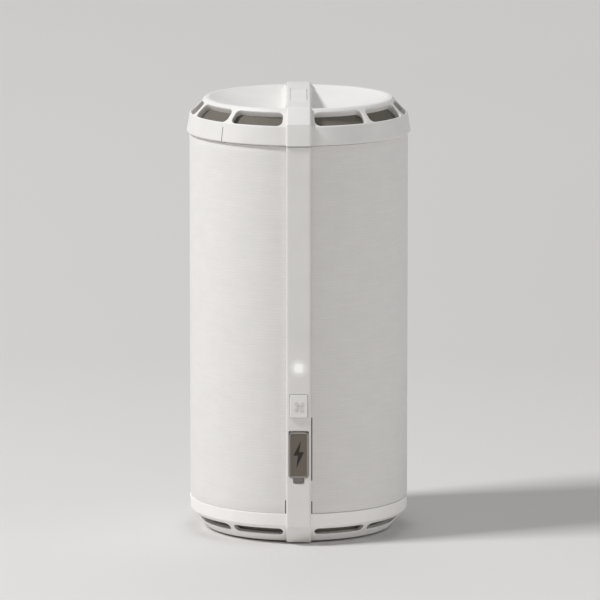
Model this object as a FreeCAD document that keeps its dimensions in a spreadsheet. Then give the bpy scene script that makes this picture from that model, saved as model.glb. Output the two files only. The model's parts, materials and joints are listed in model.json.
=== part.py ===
"""Portable cylindrical air purifier, about 93 mm across and 181 mm tall, drawn as an assembly.

Air enters through the slots of the lower ring, passes the battery and an axial fan, rises round a pleated
filter, crosses it inwards and leaves through the slots of the lid. The lid lifts off and the filter lifts out.

Frame: millimetres, +Z up, origin on the surface that the feet stand on, at the centre of the base.
The front, with the control spine, faces -Y. Azimuths are counted from the front, towards +X.
"""

import FreeCAD
import Part
import Sketcher
import math
import os

from FreeCAD import Placement, Rotation, Vector

DIMENSIONS = (
    # name, value in millimetres, degrees or pieces, what it is
    ("fabric_r", 45.0, "outer radius of the fabric cover"),
    ("fabric_wall", 0.65, "thickness of the fabric"),
    ("fabric_gap", 4.4, "half width of the gap in the fabric under each spine"),
    ("shell_r", 44.3, "outer radius of the body shell"),
    ("shell_bore", 42.3, "inner radius of the body shell"),
    ("shell_low", 13.3, "lower end of the body shell and of the fabric"),
    ("shell_top", 165.1, "upper end of the body shell"),
    ("shelf_z", 98.0, "underside of the shelf that carries the fan"),
    ("shelf_bore", 39.4, "inner radius of that shelf"),
    ("shelf_wall", 2.0, "thickness of that shelf"),
    ("ring_low_r", 38.3, "radius of the lower ring at its bottom edge"),
    ("ring_low_z", 0.8, "height of that edge"),
    ("ring_bend_r", 44.8, "radius where the lower ring turns upright"),
    ("ring_bend_z", 8.2, "height of that turn"),
    ("ring_r", 45.15, "radius of the lower ring where it meets the fabric"),
    ("ring_wall", 2.2, "wall of the lower ring"),
    ("neck_r", 43.6, "outer radius of the neck inside the lid"),
    ("neck_bore", 40.6, "inner radius of the neck"),
    ("neck_top", 169.4, "upper end of the neck"),
    ("ledge_z", 163.2, "ledge in the neck that carries the filter"),
    ("ledge_bore", 38.0, "inner radius of that ledge"),
    ("lid_low", 165.4, "lower edge of the lid"),
    ("lid_r", 46.2, "radius of the lid at its lower edge"),
    ("lid_bend_r", 44.9, "radius where the lid turns into its slope"),
    ("lid_bend_z", 172.9, "height of that turn"),
    ("lid_rim_r", 39.2, "radius at the top of the slope"),
    ("lid_rim_z", 178.8, "height of the top of the slope"),
    ("lid_top", 179.5, "height of the flat crest of the lid"),
    ("lid_wall", 2.6, "wall of the sloping part of the lid"),
    ("bowl_r", 36.2, "radius of the hollow in the top of the lid"),
    ("bowl_depth", 7.6, "depth of that hollow"),
    ("bowl_wall", 2.2, "wall under the hollow"),
    ("dish_r", 37.1, "outer radius of the dish insert"),
    ("lid_slot_low", 0.7, "start of the lid's slots, up the slope from its turn"),
    ("lid_slot_high", 7.2, "end of the lid's slots, up the slope from its turn"),
    ("ring_slot_low", 2.6, "start of the lower ring's slots, up the slope from its bottom edge"),
    ("ring_slot_high", 8.2, "end of the lower ring's slots, up the slope from its bottom edge"),
    ("slot_count", 5, "slots on each side of the spines"),
    ("slot_first", 9.0, "azimuth at which the first slot starts"),
    ("slot_rib", 3.5, "angle of the rib between two slots"),
    ("slot_round", 2.1, "corner radius of a slot"),
    ("band_w", 10.2, "width of the spines and of the lid's band"),
    ("band_edge", 0.7, "rounding of their long edges"),
    ("band_top", 180.3, "height of the band across the lid"),
    ("band_flat_y", 39.9, "where the band turns down, from the axis"),
    ("band_bend_y", 46.5, "where the band turns upright, from the axis"),
    ("band_bend_z", 174.2, "height of that turn"),
    ("band_end_y", 47.7, "face of the band at the lid's lower edge"),
    ("pad_w", 7.0, "width of the grip pad"),
    ("pad_len", 37.8, "length of the grip pad"),
    ("spine_y", 47.0, "face of the spines, from the axis"),
    ("spine_low_y", 40.3, "lower end of the spines, from the axis"),
    ("spine_low_z", 0.5, "height of that end"),
    ("spine_bend_z", 7.4, "height where the spines turn inwards"),
    ("spine_top", 165.0, "upper end of the spines"),
    ("key_half", 4.3, "half width of the spine's key in the fabric gap"),
    ("window_half", 4.15, "half width of the windows for the controls"),
    ("lens_z", 74.2, "height of the indicator"),
    ("lens_w", 4.0, "side of the indicator"),
    ("button_low", 53.7, "lower edge of the button"),
    ("button_top", 63.3, "upper edge of the button"),
    ("button_w", 7.8, "width of the button"),
    ("button_out", 1.3, "how far the button's lower edge stands out"),
    ("pivot_y", 45.7, "button pivot, from the axis"),
    ("pivot_z", 62.5, "height of the button pivot"),
    ("switch_z", 56.5, "height of the switch behind the button"),
    ("flap_low", 28.9, "lower edge of the socket cover"),
    ("flap_hinge_z", 47.1, "hinge of the socket cover"),
    ("flap_hinge_y", 46.45, "that hinge, from the axis"),
    ("flap_w", 8.2, "width of the socket cover"),
    ("flap_bead", 0.9, "radius of the cover's hinge bead"),
    ("flap_seat_y", 45.45, "floor of the recess behind the cover"),
    ("port_z", 38.0, "height of the charging socket"),
    ("port_len", 8.94, "outer length of the socket's metal shell"),
    ("port_w", 3.26, "outer width of that shell"),
    ("port_y", 44.2, "mouth of the socket, from the axis"),
    ("board_y", 37.6, "outer face of the main board, from the axis"),
    ("board_wall", 1.2, "thickness of the main board"),
    ("board_half", 9.5, "half width of the main board"),
    ("board_low", 22.0, "lower edge of the main board"),
    ("board_top", 79.0, "upper edge of the main board"),
    ("cell_r", 9.1, "radius of a battery cell"),
    ("cell_len", 65.0, "length of a battery cell"),
    ("cell_low", 8.3, "lower end of the battery cells"),
    ("cell_pitch_r", 10.6, "radius of the circle of cell centres"),
    ("pack_r", 21.5, "radius of the battery tray and cap"),
    ("pack_y", 3.0, "how far the battery pack sits behind the axis"),
    ("tie_r", 18.0, "radius of the circle of the tie bolts"),
    ("fan_low", 80.0, "lower end of the fan frame"),
    ("fan_bore", 35.6, "inner radius of the fan frame"),
    ("fan_wall", 1.8, "wall of the fan frame"),
    ("fan_top", 97.2, "upper end of the fan frame"),
    ("flange_r", 42.0, "radius of the fan frame's flange"),
    ("hub_r", 15.0, "radius of the fan's hub"),
    ("blade_tip_r", 35.1, "radius of the impeller blades' tips"),
    ("blades", 7, "impeller blades"),
    ("vanes", 7, "fixed vanes above the impeller"),
    ("shaft_r", 1.5, "radius of the fan shaft"),
    ("bearing_r", 4.1, "outer radius of the fan bearings"),
    ("filter_r", 35.0, "outer radius of the pleated filter"),
    ("filter_core_r", 22.8, "outer radius of the carbon core"),
    ("filter_low", 109.6, "lower end of the pleats"),
    ("filter_top", 161.8, "upper end of the pleats"),
    ("flange_out_r", 40.2, "radius of the filter's flange"),
    ("pleats", 44, "pleats in the filter"),
    ("foot_in_r", 26.0, "inner radius of the rubber foot"),
    ("foot_out_r", 32.0, "outer radius of the rubber foot"),
    ("foot_seat_z", 2.0, "bottom of the groove that holds the foot"),
    ("plate_low", 1.4, "underside of the base plate"),
    ("plate_top", 3.0, "upper face of the base plate"),
    ("plate_r", 36.9, "radius of the base plate"),
    ("screw_circle", 34.4, "radius of the circle of base screws"),
)

doc = FreeCAD.newDocument("air_purifier")
sheet = doc.addObject("Spreadsheet::Sheet", "dims")
for row, (alias, value, meaning) in enumerate(DIMENSIONS, start=1):
    sheet.set(f"A{row}", meaning)
    sheet.set(f"B{row}", str(value))
    sheet.setAlias(f"B{row}", alias)
doc.recompute()

nodes = []
UP = Vector(0, 0, 1)
ACROSS = Vector(1, 0, 0)
BACK = Vector(0, 1, 0)


# ---------------------------------------------------------------- helpers


def size(alias):
    """A driving dimension from the sheet, as a plain number."""
    return float(sheet.get(alias))


def node(thing, label):
    """Marks an object of the document as a finished sub-part and names its file."""
    thing.Label = label
    nodes.append(thing)
    return thing


def bind(thing, **expressions):
    """Binds properties to expressions on the sheet; an underscore in a name stands for a dot."""
    for name, expression in expressions.items():
        thing.setExpression(name.replace("_", "."), expression)


def origin_plane(body, role):
    return next(f for f in body.Origin.OriginFeatures if f.Role == role)


def pin_coordinate(sketch, kind, axis, corner, expression):
    """Fixes one coordinate of a sketched corner, by an expression or on an axis where it is zero."""
    if expression == "0":
        sketch.addConstraint(Sketcher.Constraint("PointOnObject", corner, 1, axis))
        return
    start = 5.0 + corner
    row = sketch.addConstraint(Sketcher.Constraint(kind, -1, 1, corner, 1, start))
    sketch.setExpression(f"Constraints[{row}]", expression)


def outline_sketch(body, role, corners):
    """A closed outline on one of the body's own planes, each corner a pair of expressions."""
    sketch = body.newObject("Sketcher::SketchObject", body.Name + "_outline")
    sketch.AttachmentSupport = (origin_plane(body, role), [""])
    sketch.MapMode = "FlatFace"
    count = len(corners)
    turn = 2 * math.pi / count
    start = [Vector(20 + 5 * math.cos(turn * i), 20 + 5 * math.sin(turn * i), 0) for i in range(count)]
    sketch.addGeometry([Part.LineSegment(start[i], start[(i + 1) % count]) for i in range(count)])
    for i in range(count):
        sketch.addConstraint(Sketcher.Constraint("Coincident", i, 2, (i + 1) % count, 1))
    for i, (across, along) in enumerate(corners):
        pin_coordinate(sketch, "DistanceX", -2, i, across)
        pin_coordinate(sketch, "DistanceY", -1, i, along)
    return sketch


def turned(name, corners):
    """A body turned about Z from an outline of radius and height."""
    body = doc.addObject("PartDesign::Body", name)
    sketch = outline_sketch(body, "XZ_Plane", corners)
    turn = body.newObject("PartDesign::Revolution", name + "_turn")
    turn.Profile = sketch
    turn.ReferenceAxis = (sketch, ["V_Axis"])
    turn.Angle = 360
    return body


def ring(name, inner, outer, low, high):
    """A plain ring or tube, turned from a rectangle."""
    return turned(name, ((inner, low), (outer, low), (outer, high), (inner, high)))


def box(name, corner, lengths):
    """A box from its lowest corner and its three lengths, all expressions."""
    thing = doc.addObject("Part::Box", name)
    bind(thing, Length=lengths[0], Width=lengths[1], Height=lengths[2])
    bind(thing, Placement_Base_x=corner[0], Placement_Base_y=corner[1], Placement_Base_z=corner[2])
    return thing


def rod(name, start, radius, length, axis=UP):
    """A cylinder from the centre of its first end, along an axis."""
    thing = doc.addObject("Part::Cylinder", name)
    thing.Placement = Placement(Vector(0, 0, 0), Rotation(UP, axis))
    bind(thing, Radius=radius, Height=length)
    bind(thing, Placement_Base_x=start[0], Placement_Base_y=start[1], Placement_Base_z=start[2])
    return thing


def cut(name, base, tools):
    """The base less the tools."""
    for i, tool in enumerate(tools):
        thing = doc.addObject("Part::Cut", f"{name}_{i}" if i < len(tools) - 1 else name)
        thing.Base = base
        thing.Tool = tool
        base = thing
    return base


def fuse(name, things):
    thing = doc.addObject("Part::MultiFuse", name)
    thing.Shapes = list(things)
    return thing


def shaped(name, shape):
    """A sub-part or tool whose shape comes from Part's own functions."""
    thing = doc.addObject("Part::Feature", name)
    thing.Shape = shape
    return thing


def point_at(radius, azimuth, height=0.0):
    """The point at a radius, an azimuth from the front in degrees, and a height."""
    angle = math.radians(azimuth)
    return Vector(radius * math.sin(angle), -radius * math.cos(angle), height)


def around(shape, azimuth):
    """A copy of a shape turned about the vertical axis."""
    copy = shape.copy()
    copy.rotate(Vector(0, 0, 0), UP, azimuth)
    return copy


def face_of(points):
    return Part.Face(Part.makePolygon([*points, points[0]]))


def swept_sector(points, start, angle):
    """An outline of radius and height, turned about Z over part of a circle from an azimuth."""
    face = face_of([Vector(radius, 0, height) for radius, height in points])
    return around(face.revolve(Vector(0, 0, 0), UP, angle), start - 90)


def round_edges(shape, radius, wanted):
    """Rounds the edges of a shape that a test picks."""
    return shape.makeFillet(radius, [edge for edge in shape.Edges if wanted(edge)])


def stadium(length, width, depth, along=UP):
    """A slot-shaped solid, its length along Z and its depth along +Y, centred on its first face."""
    radius = width / 2
    half = length / 2 - radius
    right = Vector(radius, 0, 0)
    rise = Vector(0, 0, half)
    edges = [
        Part.LineSegment(right - rise, right + rise).toShape(),
        Part.Arc(right + rise, rise + Vector(0, 0, radius), rise - right).toShape(),
        Part.LineSegment(rise - right, -right - rise).toShape(),
        Part.Arc(-right - rise, -rise - Vector(0, 0, radius), right - rise).toShape(),
    ]
    return Part.Face(Part.Wire(edges)).extrude(Vector(0, depth, 0))


def screw_shape(head, head_r, shank_r, length, direction):
    """A pan-head screw: its head's underside at a point, its shank along a direction."""
    head_h = 0.7 * head_r
    body = Part.makeCylinder(shank_r, length, head, direction)
    cap = Part.makeCylinder(head_r, head_h, head - direction * head_h, direction)
    recess = Part.makeBox(head_r, head_r * 0.3, head_h, Vector(-head_r / 2, -head_r * 0.15, 0))
    recess = recess.fuse(Part.makeBox(head_r * 0.3, head_r, head_h, Vector(-head_r * 0.15, -head_r / 2, 0)))
    recess.Placement = Placement(head - direction * head_h * 1.5, Rotation(UP, direction))
    return body.fuse(cap).cut(recess).removeSplitter()


def lead_path(points, bend):
    """Straight runs joined by tangent arcs of a bend radius, or as large as two runs allow."""
    corners = [Vector(*p) for p in points]
    edges = []
    here = corners[0]
    for before, corner, after in zip(corners, corners[1:], corners[2:]):
        back = before - corner
        ahead = after - corner
        half = back.getAngle(ahead) / 2
        cut_back = min(0.45 * min(back.Length, ahead.Length), bend / math.tan(half))
        back.normalize()
        ahead.normalize()
        first = corner + back * cut_back
        last = corner + ahead * cut_back
        bisector = (back + ahead).normalize()
        centre = corner + bisector * (cut_back / math.cos(half))
        radius = cut_back * math.tan(half)
        edges.append(Part.LineSegment(here, first).toShape())
        edges.append(Part.Arc(first, centre - bisector * radius, last).toShape())
        here = last
    edges.append(Part.LineSegment(here, corners[-1]).toShape())
    return Part.Wire(edges)


def lead_shape(points, radius, bend):
    """A round lead along a path."""
    path = lead_path(points, bend)
    start = Vector(*points[0])
    direction = (Vector(*points[1]) - start).normalize()
    circle = Part.Wire(Part.makeCircle(radius, start, direction))
    return path.makePipeShell([circle], True, False)


def padded(name, corners, half_width, rounding=0.0, sharp=None):
    """A prism across X from an outline of Y and Z, its outer long edges rounded."""
    body = doc.addObject("PartDesign::Body", name)
    sketch = outline_sketch(body, "YZ_Plane", corners)
    pad = body.newObject("PartDesign::Pad", name + "_pad")
    pad.Profile = sketch
    pad.SideType = "Symmetric"
    bind(pad, Length=f"2 * {half_width}")
    doc.recompute()
    if rounding:
        edges = []
        for i, edge in enumerate(pad.Shape.Edges, start=1):
            middle = edge.CenterOfMass
            if abs(middle.x) > 0.1 and not sharp(middle):
                edges.append(f"Edge{i}")
        soft = body.newObject("PartDesign::Fillet", name + "_soft")
        soft.Base = (pad, edges)
        bind(soft, Radius=rounding)
        doc.recompute()
    return body


def face_front(thing):
    """Turns something drawn on the rear side round to the front."""
    thing.Placement = Placement(Vector(0, 0, 0), Rotation(UP, 180))
    return thing


def slots(name, low, high, depth):
    """Cutters for both groups of slots, square to a slope given by two points of its outer surface."""
    along = (high - low).normalize()
    inward = Vector(-along.y, along.x, 0)
    corners = (
        low - inward * depth / 4,
        high - inward * depth / 4,
        high + inward * depth,
        low + inward * depth,
    )
    reach = 1.25 * depth
    pitch = (180 - 2 * size("slot_first") + size("slot_rib")) / size("slot_count")
    length = pitch - size("slot_rib")
    one = swept_sector([(p.x, p.y) for p in corners], 0, length)
    one = round_edges(one, size("slot_round"), lambda e: e.Curve.TypeId == "Part::GeomLine"
                      and abs(e.Length - reach) < 0.01)
    cutters = []
    for i in range(int(size("slot_count"))):
        cutters.append(around(one, size("slot_first") + pitch * i))
        cutters.append(around(one, -size("slot_first") - length - pitch * i))
    return shaped(name, Part.makeCompound(cutters))


# ---------------------------------------------------------------- body and lower ring

CORNER_SCREWS = (45, 135, 225, 315)
SPINE_SCREWS = (22.0, 91.0, 150.0)
MAGNET_CIRCLE = 42.25
MAGNET_R = 1.1


def make_lower_ring():
    outline = (
        ("dims.ring_low_r", "dims.ring_low_z"),
        ("dims.ring_bend_r", "dims.ring_bend_z"),
        ("dims.ring_r", "dims.shell_low - 0.1"),
        ("dims.ring_r - 0.1", "dims.shell_low"),
        ("dims.shell_bore - 0.15", "dims.shell_low"),
        ("dims.shell_bore - 0.15", "dims.shell_low + 4.7"),
        ("dims.shell_bore - 2.1", "dims.shell_low + 4.7"),
        ("dims.shell_bore - 2.1", "dims.shell_low + 2.2"),
        ("dims.ring_bend_r - dims.ring_wall", "dims.shell_low - 0.8"),
        ("dims.ring_bend_r - dims.ring_wall", "dims.ring_bend_z + 0.9"),
        ("dims.ring_low_r + 0.06", "dims.plate_top + 1.5"),
        ("dims.screw_circle - 1.9", "dims.plate_top + 1.5"),
        ("dims.screw_circle - 1.9", "dims.plate_top + 0.1"),
        ("dims.plate_r + 0.2", "dims.plate_top + 0.1"),
        ("dims.plate_r + 0.2", "dims.ring_low_z"),
    )
    blank = turned("lower_ring_blank", outline)
    slope = Vector(size("ring_bend_r") - size("ring_low_r"), size("ring_bend_z") - size("ring_low_z"), 0)
    slope.normalize()
    edge = Vector(size("ring_low_r"), size("ring_low_z"), 0)
    low = edge + slope * size("ring_slot_low")
    high = edge + slope * size("ring_slot_high")
    openings = slots("lower_slots", low, high, 1.9 * size("ring_wall"))
    bosses = []
    holes = []
    top = size("plate_top")
    for azimuth in CORNER_SCREWS:
        foot = point_at(size("screw_circle"), azimuth, top + 0.1)
        bosses.append(Part.makeCylinder(2.1, 6.0, foot))
        holes.append(Part.makeCylinder(0.8, 6.0, foot))
    ring_cut = cut("lower_ring_open", blank, (openings,))
    joined = fuse("lower_ring_bosses", (ring_cut, shaped("ring_bosses", Part.makeCompound(bosses))))
    node(cut("ring_finished", joined, (shaped("ring_holes", Part.makeCompound(holes)),)), "inlet_ring")
    mesh = turned("screen_body", (
        ("dims.ring_low_r + 0.3", "dims.plate_top + 1.9"),
        ("dims.ring_bend_r - 2.45", "dims.ring_bend_z + 0.75"),
        ("dims.ring_bend_r - 2.8", "dims.ring_bend_z + 1.1"),
        ("dims.ring_low_r - 0.05", "dims.plate_top + 2.3"),
    ))
    node(mesh, "inlet_screen")


def make_base():
    blank = turned("plate_blank", (
        ("5.0", "dims.plate_low"),
        ("dims.foot_in_r", "dims.plate_low"),
        ("dims.foot_in_r", "dims.foot_seat_z"),
        ("dims.foot_out_r", "dims.foot_seat_z"),
        ("dims.foot_out_r", "dims.plate_low"),
        ("dims.plate_r", "dims.plate_low"),
        ("dims.plate_r", "dims.plate_top"),
        ("5.0", "dims.plate_top"),
    ))
    plug = rod("plate_middle", ("0", "0", "dims.plate_low + 0.4"), "5.0", "1.2")
    sunk = []
    screws = []
    for azimuth in CORNER_SCREWS:
        place = point_at(size("screw_circle"), azimuth, 2.35)
        sunk.append(Part.makeCylinder(1.6, 2.0, place - UP * 2))
        sunk.append(Part.makeCylinder(0.85, 3.0, place))
        screws.append(screw_shape(place, 1.35, 0.78, 5.6, UP))
    whole = fuse("plate_whole", (blank, plug))
    node(cut("plate_finished", whole, (shaped("plate_holes", Part.makeCompound(sunk)),)), "base_plate")
    node(shaped("base_fixings", Part.makeCompound(screws)), "base_screws")
    node(ring("foot_body", "dims.foot_in_r", "dims.foot_out_r", "0", "dims.foot_seat_z"), "rubber_foot")


def make_shell():
    tube = ring("shell_tube", "dims.shell_bore", "dims.shell_r", "dims.shell_low", "dims.shell_top")
    shelf = ring("shelf_ring", "dims.shelf_bore", "dims.shell_bore - 0.02", "dims.shelf_z",
                 "dims.shelf_z + dims.shelf_wall")
    windows = []
    for low, high in (
        ("dims.lens_z - 2.3", "dims.lens_z + 2.3"),
        ("dims.button_low - 0.5", "dims.button_top + 0.4"),
        ("dims.port_z - 5.0", "dims.port_z + 5.0"),
    ):
        windows.append(box(f"shell_window_{len(windows)}", ("-dims.window_half", "-dims.spine_y", low),
                           ("2 * dims.window_half", "10", f"{high} - ({low})")))
    holes = []
    for azimuth in (0, 180):
        for height in SPINE_SCREWS:
            holes.append(Part.makeCylinder(0.85, 4.0, point_at(41.0, azimuth, height), point_at(1, azimuth)))
    drilled = shaped("shell_holes", Part.makeCompound(holes))
    node(cut("shell_finished", tube, (*windows, drilled)), "body_shell")
    taps = [Part.makeCylinder(0.8, 4.0, point_at(40.7, azimuth, size("shelf_z") - 1)) for azimuth in CORNER_SCREWS]
    node(cut("shelf_finished", shelf, (shaped("shelf_taps", Part.makeCompound(taps)),)), "fan_shelf")


def make_fabric():
    gap = math.degrees(math.asin(size("fabric_gap") / size("fabric_r")))
    inner = size("fabric_r") - size("fabric_wall")
    low = size("shell_low") + 0.05
    high = size("shell_top") - 0.05
    outline = ((inner, low), (size("fabric_r"), low), (size("fabric_r"), high), (inner, high))
    node(shaped("fabric_plus_x", swept_sector(outline, gap, 180 - 2 * gap)), "fabric_right")
    node(shaped("fabric_minus_x", swept_sector(outline, 180 + gap, 180 - 2 * gap)), "fabric_left")


def make_neck():
    blank = turned("neck_blank", (
        ("dims.ledge_bore", "dims.ledge_z - 5.2"),
        ("dims.shell_bore - 0.1", "dims.ledge_z - 5.2"),
        ("dims.shell_bore - 0.1", "dims.shell_top"),
        ("dims.neck_r", "dims.shell_top"),
        ("dims.neck_r", "dims.neck_top"),
        ("dims.neck_bore", "dims.neck_top"),
        ("dims.neck_bore", "dims.ledge_z"),
        ("dims.ledge_bore", "dims.ledge_z"),
    ))
    pockets = []
    magnets = []
    for azimuth in CORNER_SCREWS:
        place = point_at(MAGNET_CIRCLE, azimuth, size("neck_top") - 2.0)
        pockets.append(Part.makeCylinder(MAGNET_R, 2.5, place))
        magnets.append(Part.makeCylinder(MAGNET_R, 1.9, place))
    node(cut("neck_finished", blank, (shaped("neck_pockets", Part.makeCompound(pockets)),)), "neck_ring")
    node(shaped("neck_magnet_set", Part.makeCompound(magnets)), "neck_magnets")


# ---------------------------------------------------------------- spines and controls


def spine_blank(name):
    """A spine drawn on the rear side: the strap outside the fabric and its key in the fabric's gap."""
    strap = padded(name + "_strap", (
        ("dims.spine_y", "dims.spine_top"),
        ("dims.spine_y", "dims.spine_bend_z"),
        ("dims.spine_low_y", "dims.spine_low_z"),
        ("dims.spine_low_y - 1.9", "dims.spine_low_z"),
        ("dims.spine_low_y - 1.9", "dims.spine_top"),
    ), "dims.band_w / 2", "dims.band_edge", lambda p: p.y < size("spine_low_y") or p.z > size("spine_top") - 1)
    inside = turned(name + "_inside", (
        ("0", "dims.ring_low_z - 1"),
        ("dims.ring_low_r - 0.8", "dims.ring_low_z - 1"),
        ("dims.ring_bend_r + 0.05", "dims.ring_bend_z"),
        ("dims.ring_r + 0.02", "dims.shell_low"),
        ("dims.ring_r + 0.02", "dims.spine_top + 1"),
        ("0", "dims.spine_top + 1"),
    ))
    outer = cut(name + "_outer", strap, (inside,))
    key = box(name + "_key", ("-dims.key_half", "dims.shell_r - 1", "dims.shell_low + 0.1"),
              ("2 * dims.key_half", "2.7", "dims.spine_top - dims.shell_low - 0.1"))
    shell = rod(name + "_shell", ("0", "0", "dims.ring_low_z"), "dims.shell_r + 0.03", "dims.spine_top")
    joined = fuse(name + "_joined", (outer, cut(name + "_key_cut", key, (shell,))))
    holes = [Part.makeCylinder(0.75, 1.7, Vector(0, size("shell_r"), height), BACK)
             for height in SPINE_SCREWS]
    return cut(name + "_drilled", joined, (shaped(name + "_holes", Part.makeCompound(holes)),))


def make_spines():
    node(spine_blank("spine_back"), "rear_spine")
    tools = [
        box("lens_hole", ("-dims.lens_w / 2 - 0.05", "40", "dims.lens_z - dims.lens_w / 2 - 0.05"),
            ("dims.lens_w + 0.1", "10", "dims.lens_w + 0.1")),
        box("button_hole", ("-dims.button_w / 2 - 0.1", "40", "dims.button_low - 0.25"),
            ("dims.button_w + 0.2", "10", "dims.button_top - dims.button_low + 0.4")),
        box("flap_recess", ("-dims.flap_w / 2 - 0.15", "dims.flap_seat_y", "dims.flap_low - 0.2"),
            ("dims.flap_w + 0.3", "5", "dims.flap_hinge_z + 1.05 - dims.flap_low + 0.2")),
        box("tab_notch", ("-2.3", "dims.flap_seat_y + 0.75", "dims.flap_low - 2.6"), ("4.6", "5", "3")),
        box("port_hole", ("-dims.port_w / 2 - 0.25", "40", "dims.port_z - dims.port_len / 2 - 0.25"),
            ("dims.port_w + 0.5", "10", "dims.port_len + 0.5")),
        rod("button_pin_hole", ("-4.8", "dims.pivot_y", "dims.pivot_z"), "0.4", "9.6", ACROSS),
        rod("cover_pin_hole", ("-4.8", "dims.flap_hinge_y", "dims.flap_hinge_z"), "0.4", "9.6", ACROSS),
    ]
    front = cut("spine_windows", spine_blank("spine_fore"), tools)
    node(face_front(front), "front_spine")
    screws = []
    for azimuth in (0, 180):
        for height in SPINE_SCREWS:
            place = point_at(size("shell_bore") - 0.04, azimuth, height)
            screws.append(screw_shape(place, 1.5, 0.75, 3.6, point_at(1, azimuth)))
    node(shaped("spine_fixings", Part.makeCompound(screws)), "spine_screws")


def make_button():
    wedge = padded("button_wedge", (
        ("dims.pivot_y - 0.7", "dims.button_low"),
        ("dims.spine_y + dims.button_out", "dims.button_low"),
        ("dims.spine_y", "dims.button_top"),
        ("dims.pivot_y - 0.7", "dims.button_top"),
    ), "dims.button_w / 2", "0.5", lambda p: p.y < size("pivot_y"))
    stem = rod("button_stem", ("0", "43.25", "dims.switch_z"), "1.2", "dims.pivot_y - 0.7 - 43.0", BACK)
    bore = rod("button_bore", ("-5", "dims.pivot_y", "dims.pivot_z"), "0.42", "10", ACROSS)
    node(face_front(cut("button_finished", fuse("button_whole", (wedge, stem)), (bore,))), "power_button")
    pin = rod("button_pin_rod", ("-4.75", "-dims.pivot_y", "dims.pivot_z"), "0.37", "9.5", ACROSS)
    node(pin, "button_pin")
    block = box("switch_box", ("-3", "-dims.board_y - 3.5", "dims.switch_z - 3"), ("6", "3.5", "6"))
    guide = rod("switch_guide", ("0", "-dims.board_y - 3.6", "dims.switch_z"), "1.65", "2.2", BACK)
    node(cut("switch_block", block, (guide,)), "button_switch")
    tip = rod("plunger_rod", ("0", "-43.2", "dims.switch_z"), "1.55", "3.6", BACK)
    node(tip, "switch_plunger")


def make_socket_cover():
    plate = box("cover_plate", ("-dims.flap_w / 2", "dims.flap_seat_y + 0.3", "dims.flap_low"),
                ("dims.flap_w", "dims.flap_hinge_y + dims.flap_bead - dims.flap_seat_y - 0.3",
                 "dims.flap_hinge_z - dims.flap_low"))
    bead = rod("cover_bead", ("-dims.flap_w / 2", "dims.flap_hinge_y", "dims.flap_hinge_z"),
               "dims.flap_bead", "dims.flap_w", ACROSS)
    plug = stadium(7.0, 2.0, 2.8)
    plug.translate(Vector(0, size("flap_seat_y") - 2.4, size("port_z")))
    tab = box("cover_tab", ("-2.1", "dims.flap_seat_y + 0.95", "dims.flap_low - 2.4"), ("4.2", "0.9", "2.6"))
    corners = []
    for side in (-1, 1):
        edge = side * size("flap_w") / 2
        low = size("flap_low")
        corner = face_of((Vector(edge, 40, low - 0.1), Vector(edge - side * 1.0, 40, low - 0.1),
                          Vector(edge + side * 0.1, 40, low + 1.0), Vector(edge + side * 0.1, 40, low - 0.1)))
        corners.append(corner.extrude(BACK * 10))
    trimmed = cut("cover_trimmed", plate, (shaped("cover_corners", Part.makeCompound(corners)),))
    whole = fuse("cover_whole", (trimmed, bead, shaped("cover_plug", plug), tab))
    bore = rod("cover_bore", ("-5", "dims.flap_hinge_y", "dims.flap_hinge_z"), "0.42", "10", ACROSS)
    node(face_front(cut("cover_finished", whole, (bore,))), "socket_cover")
    pin = rod("cover_pin_rod", ("-4.75", "-dims.flap_hinge_y", "dims.flap_hinge_z"), "0.37", "9.5", ACROSS)
    node(pin, "cover_pin")


def make_socket():
    depth = size("port_y") - size("board_y") - 0.05
    outer = stadium(size("port_len"), size("port_w"), depth)
    inner = stadium(size("port_len") - 0.6, size("port_w") - 0.6, depth - 0.4)
    shell = outer.cut(inner)
    shell.translate(Vector(0, -size("port_y"), size("port_z")))
    node(shaped("socket_metal", shell), "charging_socket")
    base = stadium(size("port_len") - 0.65, size("port_w") - 0.65, 1.8)
    base.translate(Vector(0, -size("board_y") - 2.3, size("port_z")))
    tongue = Part.makeBox(0.7, 2.0, 6.6, Vector(-0.35, -size("board_y") - 3.6, size("port_z") - 3.3))
    node(shaped("socket_core", base.fuse(tongue)), "socket_tongue")
    lens = box("lens_block", ("-dims.lens_w / 2", "-dims.spine_y", "dims.lens_z - dims.lens_w / 2"),
               ("dims.lens_w", "6.6", "dims.lens_w"))
    node(lens, "indicator_lens")
    lamp = box("lamp_block", ("-1.4", "-dims.board_y - 1.5", "dims.lens_z - 1.4"), ("2.8", "1.45", "2.8"))
    node(lamp, "indicator_led")


# ---------------------------------------------------------------- board and battery


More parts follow.
